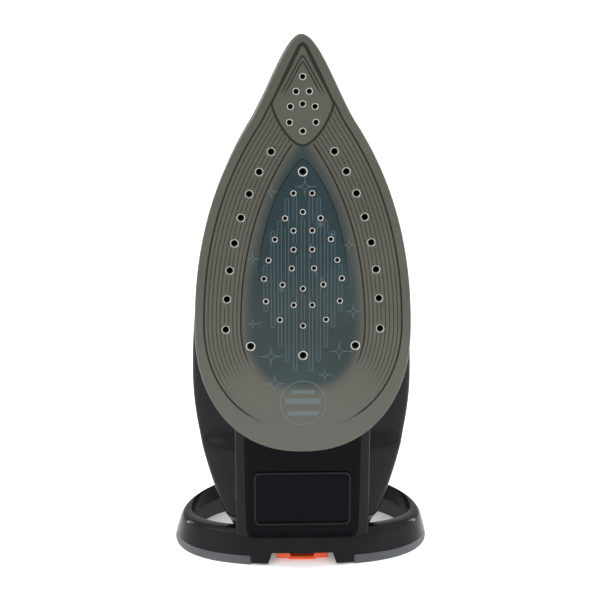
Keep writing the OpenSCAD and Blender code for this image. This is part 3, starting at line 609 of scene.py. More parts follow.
def over(tree, below, name, colour, share=1.0):
    """Lays a colour over another where a vertex value says so, at most by a share."""
    value = add(tree, "ShaderNodeAttribute", attribute_name=name)
    part = add(tree, "ShaderNodeMath", {0: value.outputs["Fac"], 1: share}, operation="MULTIPLY").outputs["Value"]
    return blend(tree, part, below, colour), part


blue = ramp(tree, cloud.outputs["Fac"], 0.35, 0.65, linear("#17292e"), linear("#1f3339"))
tinted, _ = over(tree, flaked, "tint", blue, 0.95)
printed, _ = over(tree, tinted, "light", linear("#5f7377"), 0.6)
lined, ink_part = over(tree, printed, "ink", linear("#23221d"), 0.95)
tree.links.new(lined, shader.inputs["Base Color"])
gloss = add(tree, "ShaderNodeMapRange", {"Value": ink_part, "To Min": 0.36, "To Max": 0.75})
tree.links.new(gloss.outputs["Result"], shader.inputs["Roughness"])
shader.inputs["Metallic"].default_value = 0.55
shader.inputs["Specular IOR Level"].default_value = 0.3
shader.inputs["Coat Weight"].default_value = 0.06
shader.inputs["Coat Roughness"].default_value = 0.2
peel = add(tree, "ShaderNodeBump", {"Height": flake.outputs["Distance"], "Strength": 0.25,
                                    "Distance": 0.004 * MM})
tree.links.new(peel.outputs["Normal"], shader.inputs["Normal"])

# Slot 2, the near-black bore finish, is painted shade on the inner halves of the countersinks and on the walls of the
# bores.
sole = finish_mesh(
    "sole_skin_enamelled", points,
    [*corners, *(back_cells[:, ::-1] + len(flat)), *walls],
    [enamel, bare_rim, bore_painted_shade, cast_metal], replaces=["sole_skin"], slot="sole_enamel", crisp=20,
    face_slots=np.concatenate([np.where(painted_shade_ring, 2, np.where(ring_face, 1, 0)), np.full(len(back_cells), 3),
                               np.where(in_bore, 2, 3)]),
    values={key: np.concatenate([v, np.zeros(len(back_flat))]) for key, v in
            (("ink", ink), ("light", light), ("tint", tint))})

# %% [markdown]
# ## Bores, edge and heat shield
# Behind the skin the bores run on through the aluminium casting. Each is lined with a thin near-black cup,
# closed at its far end: painted shade that makes the bores look deep and dark. The casting's side is left
# as cast, a matt dark grey, and the matt heat shield above it keeps the body cool. Both get a smooth band that follows
# the leaf.

# %% Bore cups and side bands
turn = np.radians(np.arange(0, 360, 18))
# The cups are painted shade: near-black sleeves, closed at the far end just under the casting's top, where the bores
# would only be in shadow.
cup = np.array([[1.0, skin_t], [1.0, 11.9], [0.0, 11.9], [0.0, 11.7], [0.93, 11.7], [0.93, skin_t]])
ring_x = np.cos(turn) * cup[:, :1]
ring_s = np.sin(turn) * cup[:, :1]
radius = (holes[:, 2] - 0.015)[:, None, None]
cups = place(holes[:, 0, None, None] + radius * ring_x, holes[:, 1, None, None] + radius * ring_s,
             np.broadcast_to(cup[:, 1:], ring_x.shape)[None])
one_cup = grid_faces(len(cup), len(turn), True, True)
faces = (one_cup[None] + (np.arange(len(holes)) * ring_x.size)[:, None, None]).reshape(-1, 4)
finish_mesh("steam_bore_shade_cups", cups, faces, bore_painted_shade, slot="cast_aluminium")


def side_band(name, half, s0, s1, h0, h1, material, slot, edge=0.25):
    """A thin closed band round a scaled leaf, with its outer edges taken off by a small chamfer."""
    profile = [(0.02, h0), (0.32 - edge, h0), (0.32, h0 + edge), (0.32, h1 - edge), (0.32 - edge, h1), (0.02, h1)]
    rings = np.array([place(*leaf(half, s0, s1, out).T, np.full(2 * len(flank) - 2, h)) for out, h in profile])
    return skin(name, rings, material, close_rows=True, slot=slot, crisp=25)


side_band("sole_casting_edge", half_w - 1, 1, sole_len - 1.7, skin_t, cast_top, cast_edge, "cast_aluminium")
side_band("heat_shield_skirt", 56.5, 3, 227, cast_top + 0.05, shield_top - 0.05, black_shield, "shield_black")

# %% [markdown]
# ## Body shells
# The body is one flowing form: at each place along the iron it has a rounded-square section. Half
# width, top and underside change along smooth curves. The rear housing and the tank are cut from that
# form, a couple of millimetres thick, and a grey gasket closes the seam of the tank.

# %% Body form
body_width = np.concatenate([
    bezier([[-68, 36.5], [-66, 37], [-64, 37.4], [-62, 38]], 6),
    bezier([[-62, 38], [-20, 56.5], [12, 61.6], [35, 61.6]], 30, 1),
    bezier([[35, 61.6], [85, 61.6], [128, 52], [166, 34]], 30, 1),
    bezier([[166, 34], [185, 25], [216, 12], [216, 0]], 40, 1)])
body_top = np.concatenate([
    bezier([[-68, 68], [-45, 75], [-20, 77], [50, 77]], 24),
    bezier([[50, 77], [105, 77], [150, 72], [178, 58]], 30, 1),
    bezier([[178, 58], [196, 49], [215, 45], [216, 30]], 30, 1)])
body_floor = np.array([[-70, 31.5], [-55, 31.5], [-48, 24], [-6, 24], [0, shield_top], [220, shield_top]])
body_power = 2 / 2.6


def body_levels(s, inset):
    """Underside, widest level and top of the body at s, drawn in by an inset."""
    low, top = along(body_floor, s) + inset, along(body_top, s) - inset
    return low, low + np.minimum(9, 0.4 * (top - low)), top


def body_ring(s, inset, a):
    """Section points x = W cos^0.77 and h = mid + (top or bottom) sin^0.77 for rows s and angles a."""
    s = np.asarray(s, float)[:, None]
    low, mid, top = body_levels(s, inset)
    up = power(np.sin(a), body_power)
    x = (along(body_width, s) - inset) * power(np.cos(a), body_power)
    return place(x, s, mid + np.where(up > 0, top - mid, mid - low) * up)


def between(s, inset, h, n):
    """Angles from the right side at level h, over the top, to the left side at level h."""
    low, mid, top = body_levels(np.asarray(s, float), inset)
    part = np.clip(np.where(h < mid, (h - mid) / (mid - low), (h - mid) / (top - mid)), -1, 1)
    a = np.arcsin(power(part, 1 / body_power))[:, None]
    t = np.linspace(0, 1, n)
    return a + (np.pi - 2 * a) * t, a - (np.pi + 2 * a) * t


wall, tank_s, seam_h, seam_t = 2.5, 82.0, 34.0, 0.6
a = np.radians(np.arange(0, 360, 3))
s = np.concatenate([np.linspace(-68, -46, 14), np.linspace(-43, tank_s - 0.1, 32)])
outer, inner = body_ring(s, 0, a), body_ring(s, wall, a)
skin("rear_housing_shell", np.concatenate([outer, inner[::-1]]), black_shell, close_rows=True,
     replaces=["rear_housing"], slot="shell_black", crisp=40)
tank_places = np.concatenate([np.linspace(tank_s + 0.1, 200, 40), np.linspace(202, 214, 10)])


def c_shell(s, h, top):
    """Closed C-shaped rings of the tank above or below a level: the outer arc, then the inner one back."""
    rings = []
    for inset in (0, wall):
        over_top, under = between(s, inset, h, 64)
        a = over_top if top else under
        low, mid, crown = [v[:, None] for v in body_levels(s, inset)]
        up = power(np.sin(a), body_power)
        half = np.clip(along(body_width, s) - inset, 0.3, None)[:, None]
        rings.append(place(half * power(np.cos(a), body_power), s[:, None] + 0 * a,
                           mid + np.where(up > 0, crown - mid, mid - low) * up))
    return np.concatenate([rings[0], rings[1][:, ::-1]], axis=1)


smoked = finish("smoked_polycarbonate", "#1e2b33", "#1a262e", (0.06, 0.1), 2.0, 0.001, IOR=1.585,
                Transmission_Weight=0.35)
gasket_grey = finish("tpe_gasket_grey", "#57595b", "#4c4e50", (0.5, 0.6), 0.4, 0.01, IOR=1.5)
skin("tank_top_shell", c_shell(tank_places, seam_h + seam_t / 2, True), smoked, replaces=["tank_top"],
     slot="tank_tint", crisp=40)
skin("tank_base_shell", c_shell(tank_places, seam_h - seam_t / 2, False), black_shell,
     replaces=["tank_base"], slot="tank_dark", crisp=40)

# %% Seam of the tank
s = tank_places
half = along(body_width, s)
wide = np.array([half - 0.45, half - 2.2]).clip(0.4)
right_side = [np.stack([w, s], axis=1) for w in wide]
loops = [np.concatenate([side, mirror(side)]) for side in right_side]
rings = np.array([place(*loops[i].T, np.full(2 * len(s), seam_h + up * seam_t / 2))
                  for i, up in ((0, -1), (0, 1), (1, 1), (1, -1))])
skin("tank_gasket_ring", rings, gasket_grey, close_rows=True, replaces=["tank_gasket"], slot="gasket_grey",
     crisp=30)

# %% [markdown]
# ## Heel column and blank plate
# Below the sole a column carries the weight to the heel. Its face leans a little and has a rib down
# each side and a hollow between them with a framed blank plate. The face is one field of depths
# over width and height: each feature adds or takes away some tenths of a millimetre, with soft edges.

# %% Heel column
column_half, column_base, column_front = 38.0, 20.3, 16.6
column_tilt = np.radians(3.8)
lean = np.arcsin(AWAY[2] * -1)


def column_point(x, depth, z):
    """A point of the column's own frame, turned by its lean and put on the floor."""
    return on_floor(x, column_front + depth * np.cos(column_tilt) - z * np.sin(column_tilt),
                    column_base + depth * np.sin(column_tilt) + z * np.cos(column_tilt))


def column_depth(x, z, low):
    """Rib crowns, the hollow between the ribs and the rounded lower edge."""
    side = np.abs(x)
    rib = rib_edge(z)
    hollow = 1.6 * smooth(rib - side, 0, 2.2) * smooth(z - low, 0.8, 3.4)
    crown = 0.35 * smooth(np.abs(side - (rib + column_half) / 2), 0, 3.2) * (side > rib - 1)
    edge = np.minimum(column_half - side, z - low).clip(0, 1.4)
    return hollow + crown + 1.4 - np.sqrt(1.4 ** 2 - (1.4 - edge) ** 2)


def column_ends(x):
    """Lower end of the face, with rounded corners, and its upper end under the sole's rear edge."""
    low = -4.7 + 2.9 * (np.abs(x) / column_half) ** 6
    arc_s = rear_len * (1 - (1 - (np.abs(x) / half_w) ** (2 / rear_power)) ** (rear_power / 2)) - 0.6
    high = (ORIGIN[2] / MM + arc_s * np.cos(lean) - 10.5 * np.sin(lean) - column_base) / np.cos(column_tilt)
    return low, high


def rib_edge(z):
    """Half width of the hollow: the ribs run nearly straight and close in at the bottom."""
    return np.interp(z, [-4.7, -3, 0, 5, 78], [29.0, 30.6, 31.7, 32.2, 33.0])


share = np.linspace(-1, 1, 161)[None, :]
t = np.concatenate([np.linspace(0, 0.06, 10), np.linspace(0.06, 0.62, 96)[1:], np.linspace(0.62, 1, 24)[1:]])[:, None]
low, high = column_ends(share * column_half)
rib = rib_edge(low + (high - low) * t)
x = np.sign(share) * np.where(np.abs(share) < 0.8, np.abs(share) / 0.8 * rib,
                              rib + (np.abs(share) - 0.8) / 0.2 * (column_half - rib))
low, high = column_ends(x)
z = low + (high - low) * t
face = column_depth(x, z, low)
face_y = column_front + face * np.cos(column_tilt) - z * np.sin(column_tilt)
world_z = column_base + face * np.sin(column_tilt) + z * np.cos(column_tilt)
back_y = (23.7 + (world_z - ORIGIN[2] / MM) * np.sin(lean)) / np.cos(lean) ** 2
back_y = np.where(world_z < column_base, np.minimum(back_y, face_y + 1.2), back_y)
depth = face + np.maximum(back_y - face_y, 1.0)
rows = np.concatenate([column_point(x, face, z), column_point(x, depth, z)[:, ::-1]], axis=1)
# Faces of the hollow between the ribs take the darker copy of the shell: painted shade in the recess.
slots = np.zeros((len(t) - 1, rows.shape[1]), int)
slots[:, :share.size - 1] = np.abs(share[:, 1:] + share[:, :-1]) / 2 < 0.8
skin("heel_column_face", rows, [black_shell, black_hollow_painted_shade], replaces=["heel_column"], slot="column_black",
     crisp=45, face_slots=np.append(slots.ravel(), [0, 0]))


def rounded_box(half, lo, hi, r, n=8):
    """A closed outline: four quarter circles of radius r at the corners of a box that is 2 half wide."""
    a = np.linspace(0, np.pi / 2, n)
    ring = [np.stack([cx + r * np.cos(a + turn), cz + r * np.sin(a + turn)], axis=1)
            for cx, cz, turn in ((half - r, hi - r, 0), (r - half, hi - r, np.pi / 2),
                                 (r - half, lo + r, np.pi), (half - r, lo + r, 1.5 * np.pi))]
    return np.concatenate(ring)


def pad(outline, levels, to_space):
    """Rings of a slab: the outline moved in along its normals by an inset at each level (inset, level)."""
    d = np.roll(outline, -1, axis=0) - np.roll(outline, 1, axis=0)
    d /= np.linalg.norm(d, axis=1, keepdims=True)
    inward = np.stack([-d[:, 1], d[:, 0]], axis=1)
    return np.array([to_space(outline + inset * inward, level) for inset, level in levels])


def slab_levels(lo, hi, r, bottom=0.0):
    """Insets and levels of a slab from lo to hi, rounded by r at the top and by bottom below."""
    a = np.linspace(0, np.pi / 2, 6)
    under = [(bottom * (1 - np.sin(q)), lo + bottom * (1 - np.cos(q))) for q in a] if bottom else [(0.0, lo)]
    return under + [(r * (1 - np.cos(q)), hi - r * (1 - np.sin(q))) for q in a]


label = finish("black_label_film", "#070a0e", "#05080b", (0.3, 0.38), 0.4, 0.001, IOR=1.5,
               Specular_IOR_Level=0.05)
plate = pad(rounded_box(25.1, 6.4, 35.6, 2.4), [(0, 2.1), (0, 1.5), (0.12, 1.42), (0.3, 1.4)],
            lambda p, depth: column_point(p[:, 0], np.full(len(p), depth), p[:, 1]))
skin("rating_plate_blank", plate, label, replaces=["rating_plate"], slot="plate_black")
frame_ring = pad(rounded_box(27.6, 4.0, 38.0, 3.6), [(0, 1.8), (0, 0.95), (0.12, 0.7), (0.4, 0.55), (0.9, 0.55), (1.2, 0.7), (1.35, 1.0),
                                                     (1.4, 1.8)],
                 lambda p, depth: column_point(p[:, 0], np.full(len(p), depth), p[:, 1]))
skin("rating_plate_frame", frame_ring, black_shell, close_rows=True, slot="column_black", crisp=40)

# %% [markdown]
# ## Heel hoop and foot
# The iron stands on an open ring that flares towards the floor, shod with a grey rubbery foot. Three
# plan curves steer one section round the ring: the outer edge on the floor, the outer edge of the rim
# and the inner edge. In front the hoop stands on two blocks with a slanted notch between them.

# %% Hoop and foot
hoop_h, foot_h, foot_drop, front_end = 20.0, 5.2, 1.2, 29.8
notch_top, notch_half, notch_base = 7.2, 17.4, 20.0
floor_plan = [[[0, 13.5], [56, 13.5], [74.5, 31], [74.5, 58]], [[74.5, 58], [74.5, 80], [40, 110], [0, 110]]]
rim_plan = [[[0, 20], [46, 20], [69.4, 27], [69.4, 46]], [[69.4, 46], [69.4, 70], [38, 107], [0, 107]]]
inner_plan = [[[0, 26], [44, 26], [64, 36], [64, 52]], [[64, 52], [64, 76], [46, 98], [0, 98]]]
notch_x = [0, 6, 12, 17.35, 17.45, 18.4, 19.5, 19.6, 24, 27, front_end - 0.05]
side_steps = np.linspace(0, 1, 73)


def plan_points(plan, start_x=front_end + 0.05):
    """Plan points at the front's x values, then evenly from there to the back along both cubics."""
    line = np.concatenate([bezier(plan[0], 200), bezier(plan[1], 200, 1)])
    number = np.arange(len(line))
    front = np.stack([notch_x, np.interp(notch_x, line[:200, 0], line[:200, 1])], axis=1)
    start = np.interp(start_x, line[:200, 0], number[:200])
    at = start + (number[-1] - start) * side_steps
    return np.concatenate([front, np.stack([np.interp(at, number, line[:, i]) for i in (0, 1)], axis=1)])


plans = [plan_points(p) for p in (floor_plan, rim_plan, inner_plan)]
foot_from = len(notch_x)
notch = np.clip((notch_base - np.abs(plans[0][:, 0])) * notch_top / (notch_base - notch_half), foot_drop, notch_top)
under = np.where(np.arange(len(notch)) < foot_from, notch, foot_h + 0.05)
inner_under = np.where(np.arange(len(notch)) < foot_from, notch, 10.0)


def hoop_ring(section):
    """Section points (share from outside to inside, height) carried round: right half, then the left."""
    f = np.array([q[0] for q in section])
    z = np.stack([np.broadcast_to(q[1], len(notch)) for q in section], axis=1)
    outer = plans[0][:, None] + (plans[1] - plans[0])[:, None] * (z.clip(0, hoop_h) / hoop_h)[..., None]
    p = outer + (plans[2][:, None] - outer) * f[:, None]
    p = np.concatenate([p, np.stack([p[..., 0], p[..., 1]], axis=-1)[::-1][1:-1] * [-1, 1]])
    z = np.concatenate([z, z[::-1][1:-1]])
    return on_floor(p[..., 0], p[..., 1], z)


section = [(0, under), (0, under + 0.6), (0, 12), (0, 16.2), (0.01, 17.6), (0.05, 18.7), (0.13, 19.6), (0.26, 20),
           (0.5, 20), (0.78, 20), (0.92, 19.7), (0.98, 18.9), (1, 17.6), (1, 14), (1, inner_under),
           (0.875, inner_under), (0.86, under)]
skin("heel_hoop_shell", hoop_ring(section), black_shell, close_rows=True, replaces=["heel_hoop"],
     slot="shell_black", crisp=35)
foot_section = [(0.04, 0.4), (0.07, 0), (0.98, 0), (1, 0.4), (1, 9.9), (0.88, 9.9), (0.875, foot_h), (0.03, foot_h)]
foot_ring = hoop_ring(foot_section)
last_foot = 2 * len(notch) - 1 - foot_from
skin("heel_foot_rubber", foot_ring[foot_from:last_foot], grey_foot, replaces=["heel_foot"],
     slot="foot_grey", crisp=35)

# %% [markdown]
# ## Handle
# The handle is a loop: up the rear post, along the grip, down the front post into the tank. A rounded
# section runs along a path of three cubics and grows wide where it meets the body. The grip has a
# hard upper shell, a lower shell and a soft inlay under the fingers, each an arc of that section.

# %% Handle sections
handle_path = np.array([[[-33, 58], [-34, 98], [-28, 131], [14, 132]], [[14, 132], [46, 132.7], [80, 134], [112, 131]],
                        [[112, 131], [143, 128.5], [154, 112], [151, 62]]], float)
handle_a = np.array([[0, 30], [0.5, 24], [1, 17.5], [2, 17.5], [2.35, 22], [3, 26]])
handle_b = np.array([[0, 25], [0.4, 19.8], [0.5, 18.8], [1, 14], [1.5, 13], [2, 14], [2.35, 17], [3, 23]])
handle_power = 2 / 2.4


def handle_arc(u, inset, lo, hi, n):
    """Section x = A cos^0.83, reach B sin^0.83 across the path, for path places u and angles in degrees."""
    part = np.minimum(u.astype(int), 2)
    t, p = (u - part)[:, None], handle_path[part]
    c = ((1 - t) ** 3 * p[:, 0] + 3 * (1 - t) ** 2 * t * p[:, 1] + 3 * (1 - t) * t ** 2 * p[:, 2] + t ** 3 * p[:, 3])
    d = (1 - t) ** 2 * (p[:, 1] - p[:, 0]) + 2 * (1 - t) * t * (p[:, 2] - p[:, 1]) + t * t * (p[:, 3] - p[:, 2])
    d /= np.linalg.norm(d, axis=1, keepdims=True)
    a = np.radians(np.linspace(lo, hi, n))
    x = (along(handle_a, u) - inset)[:, None] * power(np.cos(a), handle_power)
    r = (along(handle_b, u) - inset)[:, None] * power(np.sin(a), handle_power)
    return place(x, c[:, :1] - r * d[:, 1:], c[:, 1:] + r * d[:, :1])


def handle_shell(name, u, outer, inner, lo, hi, material, **how):
    """An arc of the handle between two insets; its long edges are rounded by a short step in between."""
    mid = (outer + inner) / 2
    arcs = [handle_arc(u, outer, lo + 1.2, hi - 1.2, 56), handle_arc(u, outer + 0.3, hi - 0.3, hi - 0.3, 1),
            handle_arc(u, mid, hi, hi, 1), handle_arc(u, inner, lo, hi, 40)[:, ::-1],
            handle_arc(u, mid, lo, lo, 1), handle_arc(u, outer + 0.3, lo + 0.3, lo + 0.3, 1)]
    return skin(name, np.concatenate(arcs, axis=1), material, crisp=40, **how)


def post(name, u, material, **how):
    """A hollow post: the whole section outside, and the same drawn in by the wall inside."""
    outer, inner = handle_arc(u, 0, 0, 357, 120), handle_arc(u, wall, 0, 357, 120)
    return skin(name, np.concatenate([outer, inner[::-1]]), material, close_rows=True, crisp=40, **how)


post("rear_post_shell", np.linspace(0.1, 0.9, 34), black_shell, replaces=["rear_post"], slot="shell_black")
post("front_post_shell", np.linspace(2.0, 3.0, 46), black_shell, replaces=["front_post"], slot="shell_black")
u = np.linspace(0.905, 1.995, 40)
handle_shell("grip_upper_shell", u, 0, wall, -8, 188, black_shell, replaces=["grip_upper"], slot="shell_black")
handle_shell("grip_lower_shell", u, 1.2, wall + 0.8, 189, 351, black_shield, replaces=["grip_lower"],
             slot="grip_grey")
handle_shell("grip_soft_inlay", np.linspace(0.95, 1.95, 40), 0, 1.1, 200, 340, soft_grip,
             replaces=["grip_inlay"], slot="grip_soft")

# %% [markdown]
# ## Dial, buttons, lever and lamp
# These are turned or pressed, so each rides on its own body. A round part is a profile turned about
# its axis. The dial's side has a scallop every 15 degrees for the fingers and a raised pointer on top.

# %% Turned parts


def turned(name, profile, to_space, material, n=64, closed=False, ripple=None, **how):
    """Revolves (radius, height) points; ripple(angle, height) scales the radius."""
    a = np.arange(n) * 2 * np.pi / n
    r, h = np.array(profile, float).T[:, :, None]
    if ripple:
        r = r * ripple(a[None, :], h)
    rings = to_space(r * np.cos(a), r * np.sin(a), np.broadcast_to(h, (len(profile), n)))
    return skin(name, rings, material, close_rows=closed, caps=not closed, **how)


def standing(x, s):
    """Places a turned part whose axis stands on the ironing face at x, s."""
    return lambda across, up, level: place(x + across, s + up, level)


dial_s, dial_r = 52.0, 26.0
bezel_grey = finish("grey_abs_painted", "#3b4044", "#34393d", (0.32, 0.4), 0.6, 0.003, IOR=1.54)
dial_black = finish("black_abs_ribbed", "#24282b", "#1f2326", (0.3, 0.38), 0.5, 0.003, IOR=1.54)
turned("dial_bezel_ring", [(23, 73), (23, 79.8), (23.4, 80.3), (24, 80.5), (27.6, 80.5), (28.6, 80.1), (29, 79.2),
                           (29, 73)], standing(0, dial_s), bezel_grey, closed=True, replaces=["dial_bezel"],
       slot="bezel_grey", crisp=35, n=96)


def scallops(a, h):
    """1 minus a small round dent every 15 degrees, on the dial's side only."""
    off = (np.degrees(a) + 7.5) % 15 - 7.5
    dent = np.sqrt(np.clip(1.1 ** 2 - (dial_r * np.radians(off)) ** 2, 0, None)) / dial_r
    return 1 - dent * smooth(h, 80.7, 81.2) * (1 - smooth(h, 85.6, 86.4))


turned("dial_knob", [(0, 80.8), (25.4, 80.8), (dial_r, 81.3), (dial_r, 84), (dial_r, 85.6), (25.4, 86.3), (24.8, 86.5),
                     (20.8, 86.5), (20, 86.9), (19.8, 87.6), (19.2, 88), (0, 88)], standing(0, dial_s), dial_black,
       n=192, ripple=scallops, body="dial", replaces=["dial"], slot="dial_black", crisp=35)
pointer_white = finish("white_pad_print", "#d9d9d4", "#cfcfca", (0.4, 0.5), 0.5, 0.001, IOR=1.5)
pointer = pad(rounded_box(0.9, 6, 18.6, 0.6), slab_levels(87.9, 87.99, 0.05),
              lambda p, h: place(p[:, 0], dial_s + p[:, 1], np.full(len(p), h)))
skin("dial_pointer", pointer, pointer_white, body="dial", slot="dial_black")
amber = finish("amber_acrylic_lens", "#e0842f", "#d87a26", (0.08, 0.12), 1.0, 0.001, IOR=1.49,
               Transmission_Weight=0.4)
turned("indicator_lens_dome", [(0, 70.5), (4, 70.5), (4, 72), (3, 72), (3, 76.8), (2.75, 77.5), (2.1, 77.85), (1.1, 77.98),
                               (0, 78)], standing(0, 12), amber, n=40, replaces=["indicator_lens"],
       slot="lens_amber", crisp=35)

# %% Buttons and lever
button_grey = finish("grey_pom_buttons", "#34393d", "#2d3236", (0.3, 0.4), 0.5, 0.003, IOR=1.48)
pump_x, valve_s = 11.0, 143.0
button = [(0, 125.2), (7.1, 125.2), (7.5, 125.6), (7.5, 139.6), (7.35, 140.3), (6.9, 140.8), (6.2, 141), (5.4, 140.85),
          (3.6, 140.45), (1.8, 140.25), (0, 140.2)]
for name, side in (("spray", -1), ("burst", 1)):
    turned(f"{name}_button_cap", button, standing(side * pump_x, valve_s), button_grey, n=48, body=f"{name}_key",
           replaces=[f"{name}_button"], slot="button_grey", crisp=35)
    a = np.radians(np.arange(0, 360, 7.5))
    slope = np.radians(30)
    collar = [(7.85, -3.5), (7.85, 0.35), (8.1, 0.6), (8.6, 0.6), (8.9, 0.3), (9.0, -3.5)]
    rings = np.array([place(side * pump_x + r * np.cos(a), valve_s + r * np.sin(a),
                            138.9 + h - np.tan(slope) * r * np.sin(a)) for r, h in collar])
    skin(f"{name}_button_collar", rings, bezel_grey, close_rows=True, slot="shell_black")
lever_s = 119.0
lever = np.concatenate([pad(rounded_box(1.9, -2, 2, 0.5), [(0, 126), (0, 145)],
                            lambda p, h: place(p[:, 0], lever_s + p[:, 1], np.full(len(p), h)))])
skin("steam_lever_stem", lever, orange_cap, body="lever", slot="orange")
thumb = pad(rounded_box(7, -3.5, 3.5, 1.2), slab_levels(145.4, 148.4, 0.9, 0.3),
            lambda p, h: place(p[:, 0], lever_s + p[:, 1],
                               h + 0 * p[:, 0] - 0.5 * (h > 147) * (1 - (p[:, 1] / 3.5) ** 2)))
skin("steam_lever_thumb", thumb, orange_cap, body="lever", replaces=["steam_lever"], slot="orange")

# %% [markdown]
# ## Fill door, nozzle, cord inlet and lime collector
# A small door closes the water inlet and swings on a steel pin. The nozzle sits in the nose. The cord
# would enter through a ribbed rubber gland at the back of the handle. Between the hoop's front blocks
# shows the cap of the lime collector, with a finger recess whose shade is painted dark red.

# %% Fill door and nozzle
door_tilt, pin_h, pin_s = np.radians(27), 62.0, 180.0


def on_door(x, y, z):
    """Points of the door's frame: y away from the body, z along the door from its pin to its front."""
    return place(x, pin_s + y * np.sin(door_tilt) + z * np.cos(door_tilt),
                 pin_h + y * np.cos(door_tilt) - z * np.sin(door_tilt))


a = np.radians(np.linspace(-49, 229, 60))
front = np.stack([15 * np.cos(a), 8.5 + 15 * np.sin(a)], axis=1)
front = front[(np.abs(front[:, 0]) < 11.5) & (front[:, 1] > 10)]
lid = np.concatenate([[[-11.5, 4.5], [11.5, 4.5], [11.5, front[0, 1]]], front, [[-11.5, front[-1, 1]]]])
rings = pad(lid, slab_levels(-1.6, 0.8, 0.7), lambda p, y: on_door(p[:, 0], y + 0 * p[:, 0], p[:, 1]))
smoked_door = finish("smoked_polycarbonate_lid", "#26343c", "#212e36", (0.1, 0.15), 2.0, 0.001, IOR=1.585)
skin("fill_door_lid", rings, smoked_door, body="door", slot="door_tint", crisp=35)
arm = pad(rounded_box(8, 1.4, 5.2, 0.5), [(0, -1.2), (0, 0.4)],
          lambda p, y: on_door(p[:, 0], y + 0 * p[:, 0], p[:, 1]))
skin("fill_door_arm", arm, smoked_door, body="door", slot="door_tint")
turned("fill_door_barrel", [(1.55, -8.5), (2.1, -8.5), (2.3, -8.3), (2.3, 8.3), (2.1, 8.5), (1.55, 8.5)],
       lambda p, q, x: on_door(x, p, q), smoked_door, n=32, closed=True, body="door", replaces=["fill_door"],
       slot="door_tint")
turned("spray_nozzle_tip", [(0.6, 206.2), (4, 206.2), (4, 215), (4.6, 215.05), (4.6, 215.5), (3.4, 217.7), (3, 218),
                            (1.6, 218), (0.6, 217.2)], lambda p, q, s: place(p, s, 40 + q), black_shield, n=40,
       closed=True, replaces=["spray_nozzle"], slot="shell_black", crisp=30)

# %% Cord inlet
gland_s, gland_h = -14.8, 123.1
gland_turn = np.radians(52 - 180)


def on_gland(p, q, z):
    """Points of the inlet's frame: z out along the way a cord would take."""
    return place(p, gland_s + q * np.sin(gland_turn) + z * np.cos(gland_turn),
                 gland_h + q * np.cos(gland_turn) - z * np.sin(gland_turn))


gland = [(3.9, 8), (7.85, 8), (7.85, 19), (9.1, 19), (9.4, 19.3), (9.3, 20.2)]
for z in (20.6, 22.2, 23.8):
    r = 9.4 - (z - 19) * 0.34
    gland += [(r - 0.5, z), (r - 0.5, z + 0.5), (r - 0.1, z + 0.7), (r - 0.25, z + 1.2)]
gland += [(6.9, 25.9), (6.2, 26), (4.4, 26), (3.9, 25.6)]
gland_rubber = finish("black_tpe_gland", "#232628", "#1d2022", (0.5, 0.6), 0.4, 0.012, IOR=1.5)
turned("cord_gland_ribbed", gland, on_gland, gland_rubber, closed=True, replaces=["cord_gland"],
       slot="gland_rubber", crisp=35)

# %% Lime collector's cap
cap_under = [[-14.9, 1.9], [-14.6, 1.7], [-8.4, 1.7], [-7.4, 0.7], [7.4, 0.7], [8.4, 1.7], [14.6, 1.7], [14.9, 1.9]]
whole_front = np.array(cap_under + [[14.9, 8.4], [14.6, 8.6], [-14.6, 8.6], [-14.9, 8.4]], float)
cut_front = np.array(cap_under + [[14.9, 6.4], [14.6, 6.6], [7.6, 6.6], [6.6, 2.5], [-6.6, 2.5], [-7.6, 6.6],
                                  [-14.6, 6.6], [-14.9, 6.4]], float)
cap_rings = pad(cut_front, [(0.35, 21.0), (0.1, 21.1), (0, 21.35), (0, 26.78)],
                lambda p, y: on_floor(p[:, 0], y + 0 * p[:, 0], p[:, 1]))
skin("collector_cap_face", cap_rings, orange_cap, body="collector", replaces=["collector_cap"], slot="orange")
# The cap's body behind the cut front is dark red: painted shade for the finger recess seen through the cut.
rest_rings = pad(whole_front, [(0, 26.8), (0, 49.6), (0.4, 50)],
                 lambda p, y: on_floor(p[:, 0], y + 0 * p[:, 0], p[:, 1]))
skin("collector_cap_base", rest_rings, orange_cap_painted_shade, body="collector", slot="orange")

# %% [markdown]
# ## Finishes of the inner parts
# The parts inside keep their CAD shapes, which are right, and get real finishes: drawn steel tube,
# pressed aluminium, silicone, ceramic, brass, nylon and a green circuit board.

# %% Inner parts
steel = finish("zinc_plated_steel", "#b9bbbb", "#a9abac", (0.3, 0.4), 0.3, 0.003, Metallic=1.0)
tube_steel = finish("heating_element_oxidised_steel", "#8f8676", "#7c7465", (0.4, 0.5), 0.5, 0.004, Metallic=1.0)
pressed = finish("aluminium_pressed_sheet", "#c6c8ca", "#b4b6b8", (0.35, 0.45), 0.8, 0.004, Metallic=1.0)
red_silicone = finish("red_silicone", "#a8442c", "#983c27", (0.5, 0.6), 0.5, 0.008, IOR=1.42)
ceramic = finish("steatite_ceramic", "#ddd8cc", "#d0cabd", (0.35, 0.5), 0.8, 0.006, IOR=1.6)
brass = finish("brass_turned", "#c8a054", "#b89048", (0.28, 0.36), 0.3, 0.003, Metallic=1.0)
clear_tube = finish("silicone_tube_clear", "#a9b6bb", "#9dabb1", (0.3, 0.4), 0.6, 0.002, IOR=1.42,
                    Transmission_Weight=0.3)
white_nylon = finish("white_acetal", "#e0e0da", "#d6d6cf", (0.35, 0.45), 0.5, 0.003, IOR=1.48)
grey_nylon = finish("grey_glass_filled_nylon", "#5f6b73", "#545f67", (0.4, 0.5), 0.35, 0.01, IOR=1.53)
green_board = finish("green_solder_mask", "#2f6b45", "#285e3c", (0.25, 0.35), 0.8, 0.002, IOR=1.5)
